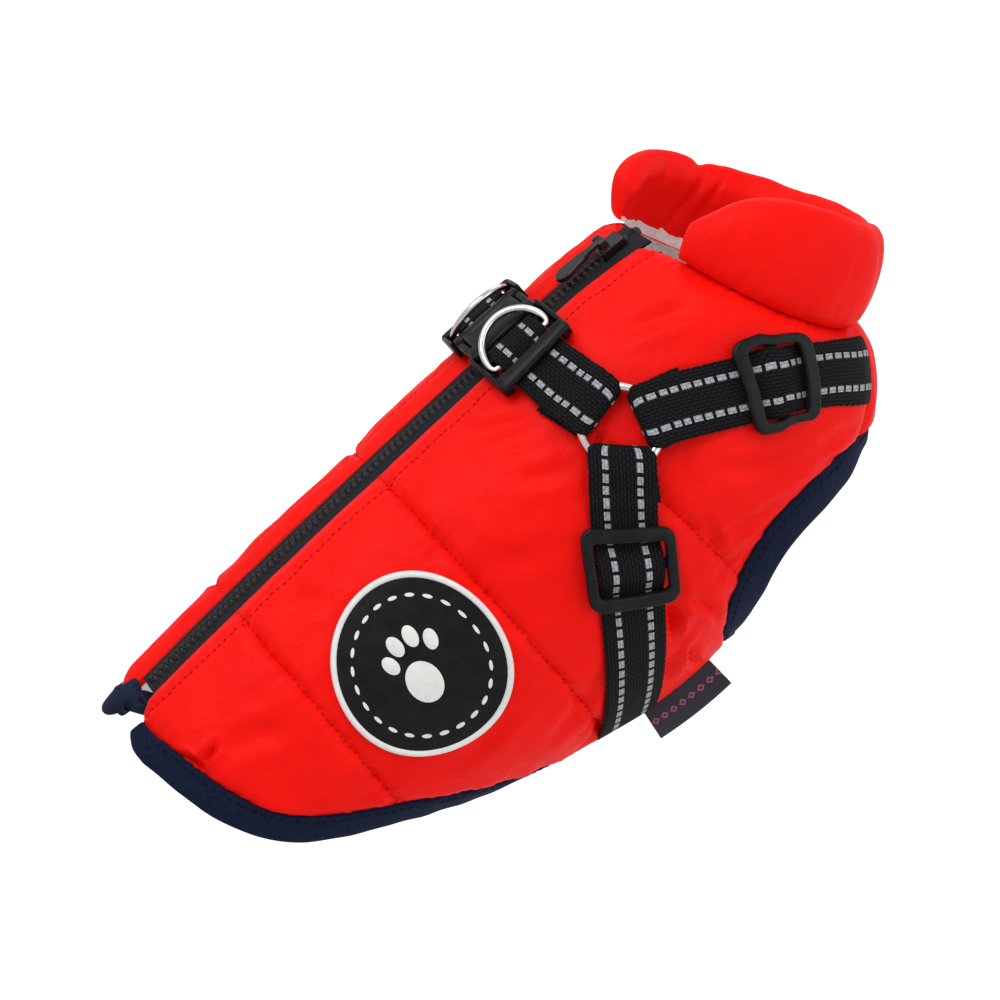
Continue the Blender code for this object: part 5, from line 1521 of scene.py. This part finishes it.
class JACKET_OT_moulded_parts(bpy.types.Operator):
    """Make the four webbing sliders and the two halves of the buckle"""

    bl_idname = "jacket.moulded_parts"
    bl_label = "Sliders and buckle"

    def execute(self, context):
        bands = harness_bands()
        for route, distance in (("chest_", CHEST_GLIDE_AT), ("belly_", BELLY_GLIDE_AT)):
            for word, _ in SIDES:
                made = self.glide(route + "slider_" + word, bands[route + word], distance)
                own(made, "jacket", "plastic", route + "glide_" + word)
        for name, side in (("buckle_socket", 1), ("buckle_prong", -1)):
            own(self.buckle_half(name + "_moulding", bands["yoke_right"], side), "jacket", "plastic", name)
        return {"FINISHED"}

    @staticmethod
    def glide(name, band, distance):
        frame_plate = plate(
            [rounded_rectangle(GLIDE_LENGTH, GLIDE_WIDTH, GLIDE_CORNER),
             rounded_rectangle(GLIDE_LENGTH - 2 * GLIDE_BAR, GLIDE_WIDTH - 2 * GLIDE_RAIL, 1.4, 4)],
            GLIDE_LOW, GLIDE_LOW + GLIDE_THICKNESS, 0.8)
        half, end = GLIDE_CENTRE_BAR / 2, GLIDE_WIDTH / 2 - 1.2
        bar = rounded_box((-half, half), (-end, end), (WEB_BED, GLIDE_CENTRE_TOP), 0.5)
        return merged(name, [lay_mesh(name + word, bm, band, distance)
                             for word, bm in (("_frame", frame_plate), ("_bar", bar))])

    @staticmethod
    def buckle_half(name, band, side):
        """The socket (side 1) or the prongs (side -1), each with its frame, its bars and its posts."""
        outer, inner, lip = BUCKLE_HALF_WIDTH, BUCKLE_HALF_WIDTH - FRAME_RAIL, BUCKLE_HALF_WIDTH + FRAME_LIP
        window, bar_to = BUCKLE_REACH - BUCKLE_BAR, BUCKLE_REACH - 0.3

        def box(start, end, reach, low, high, radius):
            """A box across the half, `start` to `end` from the buckle's middle."""
            return (-side * start, -side * end), (-reach, reach), (low, high), radius

        def edges(start, end, near, far, low, high, radius):
            """A box on each edge of the half."""
            return [((-side * start, -side * end), (near * edge, far * edge), (low, high), radius)
                    for edge in (-1, 1)]

        if side > 0:
            waist, seat = outer - ARM_WIDTH - GAP, ARM_END + GAP
            boxes = [box(BUCKLE_BODY, seat, outer, WEB_BED, BUCKLE_TOP, 1.1),
                     box(seat + 2.4, BUCKLE_SPLIT, waist, WEB_BED, BUCKLE_TOP - 0.05, 1.0)]
        else:
            boxes = [box(GAP - BUCKLE_SPLIT, BUCKLE_BODY, outer, WEB_BED, BUCKLE_TOP, 1.1)]
            boxes += edges(-ARM_END, 2.2 - BUCKLE_SPLIT, outer - ARM_WIDTH, outer, WEB_BED + 1.2,
                           BUCKLE_TOP - 1.0, 0.7)
        boxes += [box(window - 0.8, bar_to, lip, FRAME_BAR_LOW, FRAME_BAR_TOP, 1.3),
                  box(INNER_BAR_AT - INNER_BAR_RADIUS, INNER_BAR_AT + INNER_BAR_RADIUS, inner + 0.8,
                      INNER_BAR_HEIGHT - INNER_BAR_RADIUS, INNER_BAR_HEIGHT + INNER_BAR_RADIUS, 0.6)]
        for rail in (
            (BUCKLE_BODY - 1.6, bar_to - 1.6, outer + 0.05, lip, WEB_BED, FRAME_BAR_TOP - 0.5, 0.55),
            (BUCKLE_BODY - 1.4, bar_to - 1.8, inner, outer, WEB_BED, FRAME_RAIL_TOP, 0.6),
            (window + 0.2, bar_to - 1.0, inner, outer, WEB_BED + 0.1, FRAME_BAR_TOP - 0.3, 0.6),
            (BUCKLE_BODY - 1.2, INNER_BAR_AT + 1.4, inner, outer, WEB_BED + 0.1, FRAME_POST_TOP, 0.6),
        ):
            boxes += edges(*rail)
        return merged(name, [lay_mesh("%s_%d" % (name, k), rounded_box(*sizes), band, band.length / 2)
                             for k, sizes in enumerate(boxes)])


# --- Zip

TAPE_LOW, TAPE_HEIGHT, TAPE_INNER = 0.9, 1.75, 0.25
ZIP_REAR, ZIP_NECK = -146.5, 51.5
SLIDER_CENTRE, SLIDER_LENGTH = 43.0, 8.8
ZIP_SPREAD = 1.4


def chain_spread(along):
    """How far the inner edge of a row of teeth lies from the back line: the zip is open past its slider."""
    opened = np.clip(along - SLIDER_CENTRE - SLIDER_LENGTH / 2, 0.0, None)
    return ZIP_SPREAD * opened / (ZIP_NECK - SLIDER_CENTRE - SLIDER_LENGTH / 2)


def zip_tooth(side):
    """A moulded tooth: a broad foot on the tape and a narrower head that crosses the middle."""
    rows = ((-2.8, 0.62, 0.5, 1.75), (-2.55, 0.84, 0.3, 2.1), (-1.5, 0.86, 0.25, 2.3), (-1.05, 0.6, 0.25, 2.3),
            (-0.3, 0.44, 0.3, 2.2), (0.45, 0.53, 0.35, 2.2), (0.85, 0.46, 0.45, 2.05), (1.05, 0.22, 0.7, 1.8))
    rings = []
    for across, half, low, high in rows:
        bend = min(0.22, half * 0.45)
        flat = ((-half, low + bend), (-half + bend, low), (half - bend, low), (half, low + bend),
                (half, high - bend), (half - bend, high), (-half + bend, high), (-half, high - bend))
        rings.append([(x, across * side * -1.0, z) for x, z in flat])
    return tube_object("tooth", rings, [])


class JACKET_OT_zip(bpy.types.Operator):
    """Make the zip: two tapes and its moulded teeth, closed behind the slider and open before it; give the
    slider and its pull a lacquer finish
    """

    bl_idname = "jacket.zip"
    bl_label = "Zip"

    def execute(self, context):
        looks = context.scene.jacket_cloth
        rear, front = SLIDER_CENTRE - SLIDER_LENGTH / 2, SLIDER_CENTRE + SLIDER_LENGTH / 2
        for word, side in SIDES:
            own(self.tape("tape_" + word, side), "jacket", "zip_tape", "zip_tape_" + word)
            paths = []
            for start, end in ((ZIP_REAR + 2.0 + looks.tooth_pitch * (side < 0) / 2, rear), (front, ZIP_NECK)):
                along = even_steps(start, end, 1.5)
                spread = chain_spread(along) + (0.0 if end == rear else 0.75)
                angle = half_opening_angle(along, 2 * spread) * side
                paths.append((on_skin(along, angle, 0.0), skin_normal(along, angle)))
            teeth = repeated("zip_teeth_" + word, paths, zip_tooth(side), looks.tooth_pitch, teeth_material())
            own(teeth, "jacket", "zip_teeth", "zip_row_" + word, *(["zip_chain"] if side > 0 else []))
        for name in ("zip_slider", "zip_pull"):
            materials = frame["nodes"][name].data.materials
            materials.clear()
            materials.append(lacquer_material())
        return {"FINISHED"}

    @staticmethod
    def tape(name, side):
        """One tape, from the middle of the zip to under the flank's edge."""
        along = even_steps(ZIP_REAR, ZIP_NECK, 1.2)
        far = zip_opening(along) / 2 - 0.12
        rings = []
        for out, height in ((0.0, TAPE_LOW), (1.0, TAPE_LOW), (1.0, TAPE_HEIGHT), (0.75, TAPE_HEIGHT + 0.08),
                            (0.25, TAPE_HEIGHT + 0.08), (0.0, TAPE_HEIGHT)):
            angle = half_opening_angle(along, 2 * (TAPE_INNER + (far - TAPE_INNER) * out)) * side
            rings.append(on_skin(along, angle, height))
        return tube_object(name, np.stack(rings, axis=1), [zip_tape_material()])


# --- Badge and label

BADGE_PLACE = (-82.1, 69.8)
BADGE_RADIUS, BADGE_RIM = 27.3, 1.8
BADGE_DASHES, BADGE_DASH_REACH = 24, 20.6
PAW_PADS = (
    # x, y, length, width, turn
    (-1.5, 3.8, 11.0, 12.5, 0.0), (-7.2, -5.2, 6.0, 4.4, 1.25), (-2.7, -8.8, 6.4, 4.6, 1.45),
    (3.0, -8.8, 6.4, 4.6, 1.7), (7.6, -5.0, 6.0, 4.4, 1.95),
)
BADGE_FACE = PUFF_HEIGHT + GAP + 1.5
BADGE_TOP = PUFF_HEIGHT + GAP + 2.1
LABEL_FROM, LABEL_WIDTH, LABEL_LENGTH = -42.0, 22.0, 11.5
LABEL_THICKNESS = 0.6


def on_badge(x, y, height):
    """Points over the badge's place: x towards the head, y down the flank, in millimetres."""
    forward, around = skin_slopes(*BADGE_PLACE)
    forward = unit(forward)
    around = unit(around - forward * dot(around, forward))
    x, y, height = spread_out(x, y, height)
    step = (forward * x[..., None] + around * y[..., None]) * SKIN_SHRINK
    return on_skin(*slide(*BADGE_PLACE, step), height)


def badge_disc(name, rows, material, sectors=96):
    """A round body on the badge's place from rows of radius and height; it is closed at its middle."""
    turn = np.linspace(0, 2 * math.pi, sectors, endpoint=False)
    rings = [on_badge(radius * np.cos(turn), radius * np.sin(turn), height) for radius, height in rows]
    return tube_object(name, rings, [material], closed=rows[0][0] > 1.0 and rows[-1][0] > 1.0)


def badge_pad(name, x, y, length, width, turn, material):
    """A low raised oval on the badge's face."""
    rings = []
    at = np.linspace(0, 2 * math.pi, 28, endpoint=False)
    c, s = math.cos(turn), math.sin(turn)
    for share, rise in ((1.0, -0.3), (1.0, 0.16), (0.93, 0.28), (0.05, 0.3)):
        u, v = length / 2 * share * np.cos(at), width / 2 * share * np.sin(at)
        rings.append(on_badge(x + u * c - v * s, y + u * s + v * c, BADGE_FACE + rise))
    return tube_object(name, rings, [material])


class JACKET_OT_trims(bpy.types.Operator):
    """Make the moulded badge and the woven label"""

    bl_idname = "jacket.trims"
    bl_label = "Badge and label"

    def execute(self, context):
        own(self.badge(), "jacket", "rubber", "badge")
        label = self.label()
        own(label, "jacket", "label", "label")
        return {"FINISHED"}

    @staticmethod
    def badge():
        """A black disc with a raised white rim, and in it a paw print and a ring of dashes."""
        bed, rim, edge, top = PUFF_HEIGHT + GAP, BADGE_RADIUS - BADGE_RIM, BADGE_RADIUS, BADGE_TOP
        white = badge_white_material()
        parts = [
            badge_disc("badge", ((0.3, bed), (rim, bed), (rim, BADGE_FACE), (14.0, BADGE_FACE),
                                 (0.3, BADGE_FACE)), badge_black_material()),
            badge_disc("badge_rim", (
                (rim - 0.1, bed + 0.1), (edge - 0.2, bed + 0.1), (edge, bed + 0.5), (edge, top - 0.6),
                (edge - 0.3, top - 0.15), (edge - 0.8, top), (rim + 0.6, top), (rim + 0.15, top - 0.15),
                (rim - 0.1, top - 0.5)), white),
        ]
        turns = [2 * math.pi * k / BADGE_DASHES for k in range(BADGE_DASHES)]
        dashes = [(BADGE_DASH_REACH * math.cos(turn), BADGE_DASH_REACH * math.sin(turn), 3.0, 1.1,
                   turn + math.pi / 2) for turn in turns]
        parts += [badge_pad("pad_%d" % k, *pad, white) for k, pad in enumerate([*PAW_PADS, *dashes])]
        return merged("badge_disc", parts)

    @staticmethod
    def label():
        """A folded strip of woven label, sewn into the belly seam and open at its ends."""
        along = even_steps(LABEL_FROM, LABEL_FROM + LABEL_WIDTH, 0.8)
        seam = np.full(along.shape, SEAM_ANGLE)
        side = unit(skin_slopes(along, seam)[1])
        low, half, inner = EDGE_HEIGHT + 2 * GAP, LABEL_THICKNESS / 2, 0.07
        rises = np.linspace(0.0, LABEL_LENGTH - half, 10)
        bend = np.linspace(0.0, math.pi, 7)[1:-1]
        outline = [(-half, rise, rise) for rise in rises]
        outline += [(-half * math.cos(t), rises[-1] + half * math.sin(t), LABEL_LENGTH) for t in bend]
        outline += [(half, rise, rise) for rise in rises[::-1]] + [(inner, rise, rise) for rise in rises]
        outline += [(inner * math.cos(t), rises[-1] + inner * math.sin(t), LABEL_LENGTH) for t in bend]
        outline += [(-inner, rise, rise) for rise in rises[::-1]]
        rings = [on_skin(*slide(along, seam, side * off), low + rise) for off, rise, _ in outline]
        marks = np.array([mark for _, _, mark in outline])
        uv = np.stack(np.broadcast_arrays((along - LABEL_FROM)[:, None], marks[None]), axis=-1)
        return tube_object("folded_label", np.stack(rings, axis=1), [label_material()], uv=uv)


# --- Stage

VIEW_AZIMUTH, VIEW_ELEVATION, VIEW_ROLL = -2.7, 28.0, 41.7
VIEW_TARGET = (-0.032, 0.0, -0.0353)
LENS, SENSOR = 118.8, 36.0
FLOOR_REACH = 12000.0


class JACKET_OT_stage(bpy.types.Operator):
    """Set up the pale floor, the soft lights and the camera"""

    bl_idname = "jacket.stage"
    bl_label = "Stage"

    def execute(self, context):
        scene = context.scene
        for obj in list(scene.objects):
            if obj.type in {"LIGHT", "CAMERA"} or (obj.type == "MESH" and obj.name == "Cube"):
                bpy.data.objects.remove(obj)
        look = scene.jacket_stage
        azimuth, elevation, roll = (math.radians(v) for v in (VIEW_AZIMUTH, VIEW_ELEVATION, VIEW_ROLL))
        back = Vector((math.sin(azimuth) * math.cos(elevation), -math.cos(azimuth) * math.cos(elevation),
                       math.sin(elevation)))
        level = Vector((math.cos(azimuth), math.sin(azimuth), 0.0))
        rise = back.cross(level)
        right = level * math.cos(roll) - rise * math.sin(roll)
        up = level * math.sin(roll) + rise * math.cos(roll)
        data = bpy.data.cameras.new("camera")
        data.sensor_width, data.lens = SENSOR, LENS
        camera = linked("camera", data)
        camera.matrix_world = Matrix((right, up, back)).transposed().to_4x4()
        camera.location = Vector(VIEW_TARGET) + back
        scene.camera = camera
        self.add_floor(look)
        for name, place, size, power in (
            ("key", right * -0.55 + up * 1.0 + back * 0.9, 1.1, look.key_power),
            ("fill", right * 1.1 + up * 0.1 + back * 0.8, 1.4, look.fill_power),
            ("rim", right * 0.3 + up * 1.3 - back * 0.5, 1.0, look.rim_power),
        ):
            self.add_light(name, Vector(VIEW_TARGET) + place, size, power)
        scene.view_settings.view_transform = "Standard"
        world = scene.world or bpy.data.worlds.new("studio")
        scene.world = world
        world.use_nodes = True
        backdrop = world.node_tree.nodes["Background"]
        backdrop.inputs["Color"].default_value = (1.0, 1.0, 1.0, 1.0)
        backdrop.inputs["Strength"].default_value = look.surround
        return {"FINISHED"}

    @staticmethod
    def add_floor(look):
        corners = [(x * FLOOR_REACH, y * FLOOR_REACH, look.floor_height / MM)
                   for x, y in ((-1, -1), (1, -1), (1, 1), (-1, 1))]
        floor = mesh_object("floor", corners, [(0, 1, 2, 3)], [])
        made, tree = new_material("floor", Roughness=0.9, Emission_Color=(1.0, 1.0, 1.0, 1.0))
        seen = add_node(tree, "ShaderNodeLightPath").outputs["Is Camera Ray"]
        tone = noise(tree, coords(tree), 1.5, 2.0)
        floor.data.materials.append(finished(
            made, Emission_Strength=calc(tree, "MULTIPLY", seen, look.floor_glow),
            Base_Color=mixed(tree, tone, (0.90, 0.90, 0.90), (0.94, 0.94, 0.94))))

    @staticmethod
    def add_light(name, place, size, power):
        data = bpy.data.lights.new(name, "AREA")
        data.shape, data.size, data.energy = "DISK", size, power
        light = linked(name, data)
        light.location = place
        light.rotation_euler = (place - Vector(VIEW_TARGET)).to_track_quat("Z", "Y").to_euler()


# --- What a user would change


def colour(name, description, default):
    return FloatVectorProperty(name=name, description=description, default=default, size=3, subtype="COLOR",
                               min=0.0, max=1.0)


def number(name, description, default, unit="NONE"):
    return FloatProperty(name=name, description=description, default=default, unit=unit)


def share(name, description, default):
    return FloatProperty(name=name, description=description, default=default, subtype="FACTOR",
                         min=0.0, max=1.0)


class JACKET_PG_cloth(bpy.types.PropertyGroup):
    puff_height: number("Puff height", "Height of the padded cloth in millimetres", 5.1)
    quilt_depth: number("Quilt depth", "Depth of a quilted line in millimetres", 2.3)
    placket_width: number("Placket width", "From the zip to its topstitching, in millimetres", 8.0)
    hem_binding_width: number("Hem binding", "Width of the hem binding in millimetres", 8.5)
    tooth_pitch: number("Tooth pitch", "Distance between zip teeth in millimetres", 2.25)
    shell_roughness: share("Shell roughness", "Roughness of the shell", 0.5)
    shell_colour: colour("Shell colour", "Colour of the padded shell", (0.95, 0.006, 0.003))
    shell_colour_low: colour("Shell colour, low", "Colour of the shell's duller patches", (0.86, 0.004, 0.002))
    thread_colour: colour("Thread colour", "Colour of the shell's thread", (0.60, 0.006, 0.004))
    lining_colour: colour("Lining colour", "Colour of the fleece", (0.95, 0.94, 0.92))
    # Painted shade: the colour low in the pile
    lining_colour_low: colour("Lining colour, low", "Colour deep in the fleece", (0.8, 0.79, 0.78))
    binding_colour: colour("Binding colour", "Colour of the bindings", (0.003, 0.006, 0.020))
    # Painted light: the colour on the tops of the raised fibres
    binding_colour_worn: colour("Binding colour, worn", "Colour of the raised fibres", (0.009, 0.015, 0.042))


class JACKET_PG_harness(bpy.types.PropertyGroup):
    dash_line: number("Dash line", "Distance of each line of dashes from the middle, in millimetres", 5.0)
    dash_width: number("Dash width", "Width of a dash in millimetres", 1.8)
    dash_pitch: number("Dash pitch", "Length of a dash and its gap in millimetres", 3.7)
    dash_share: share("Dash share", "Part of the pitch that is dash", 0.72)
    webbing_colour: colour("Webbing colour", "Colour of the webbing", (0.003, 0.003, 0.0035))
    # Painted light: the colour on the tops of the raised threads
    webbing_colour_worn: colour("Webbing colour, raised", "Colour of the raised threads", (0.014, 0.014, 0.016))
    dash_colour: colour("Dash colour", "Colour of the reflective dashes", (0.60, 0.61, 0.64))
    # Painted shade: the dashes' colour between threads
    dash_colour_low: colour("Dash colour, low", "Colour of the dashes between threads", (0.3, 0.31, 0.34))


class JACKET_PG_hardware(bpy.types.PropertyGroup):
    plastic_colour: colour("Plastic colour", "Colour of the moulded parts", (0.005, 0.005, 0.006))
    plastic_colour_worn: colour("Plastic colour, worn", "Colour of scuffed mouldings", (0.011, 0.011, 0.013))
    plastic_roughness: share("Plastic roughness", "Roughness of the moulded parts", 0.34)
    nickel_roughness: share("Nickel roughness", "Roughness of the rings", 0.16)


class JACKET_PG_stage(bpy.types.PropertyGroup):
    floor_height: number("Floor height", "Height of the floor", -0.6, unit="LENGTH")
    floor_glow: number("Floor glow", "Own light of the floor, which keeps it pale in the camera's eye", 0.5)
    key_power: number("Key light", "Power of the key light", 10.6, unit="POWER")
    fill_power: number("Fill light", "Power of the fill light", 5.0, unit="POWER")
    rim_power: number("Rim light", "Power of the light from behind", 2.5, unit="POWER")
    surround: number("Surround", "Strength of the light from all round", 0.62)


class JACKET_PT_sidebar(bpy.types.Panel):
    """Lists what the jacket is made of"""

    bl_idname = "JACKET_PT_sidebar"
    bl_label = "Dog jacket"
    bl_space_type = "VIEW_3D"
    bl_region_type = "UI"
    bl_category = "Dog jacket"

    def draw(self, context):
        for operator in OPERATORS:
            self.layout.operator(operator.bl_idname)
        for group in GROUPS:
            box = self.layout.box()
            for key in GROUPS[group].__annotations__:
                box.prop(getattr(context.scene, group), key)


OPERATORS = (
    JACKET_OT_shell, JACKET_OT_collar, JACKET_OT_bindings, JACKET_OT_webbing, JACKET_OT_rings,
    JACKET_OT_moulded_parts, JACKET_OT_zip, JACKET_OT_trims, JACKET_OT_stage,
)
GROUPS = {
    "jacket_cloth": JACKET_PG_cloth, "jacket_harness": JACKET_PG_harness,
    "jacket_hardware": JACKET_PG_hardware, "jacket_stage": JACKET_PG_stage,
}


def register():
    for item in (*GROUPS.values(), *OPERATORS, JACKET_PT_sidebar):
        bpy.utils.register_class(item)
    for name, group in GROUPS.items():
        setattr(bpy.types.Scene, name, PointerProperty(type=group))


def unregister():
    for name in GROUPS:
        delattr(bpy.types.Scene, name)
    for item in (JACKET_PT_sidebar, *reversed(OPERATORS), *reversed(GROUPS.values())):
        bpy.utils.unregister_class(item)


def main():
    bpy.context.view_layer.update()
    register()
    for obj in [o for o in bpy.data.objects if o.name in {"Cube", "Light", "Camera"}]:
        bpy.data.objects.remove(obj)
    for operator in OPERATORS:
        group, name = operator.bl_idname.split(".")
        getattr(getattr(bpy.ops, group), name)()
    bpy.context.view_layer.update()


if __name__ == "__main__":
    main()
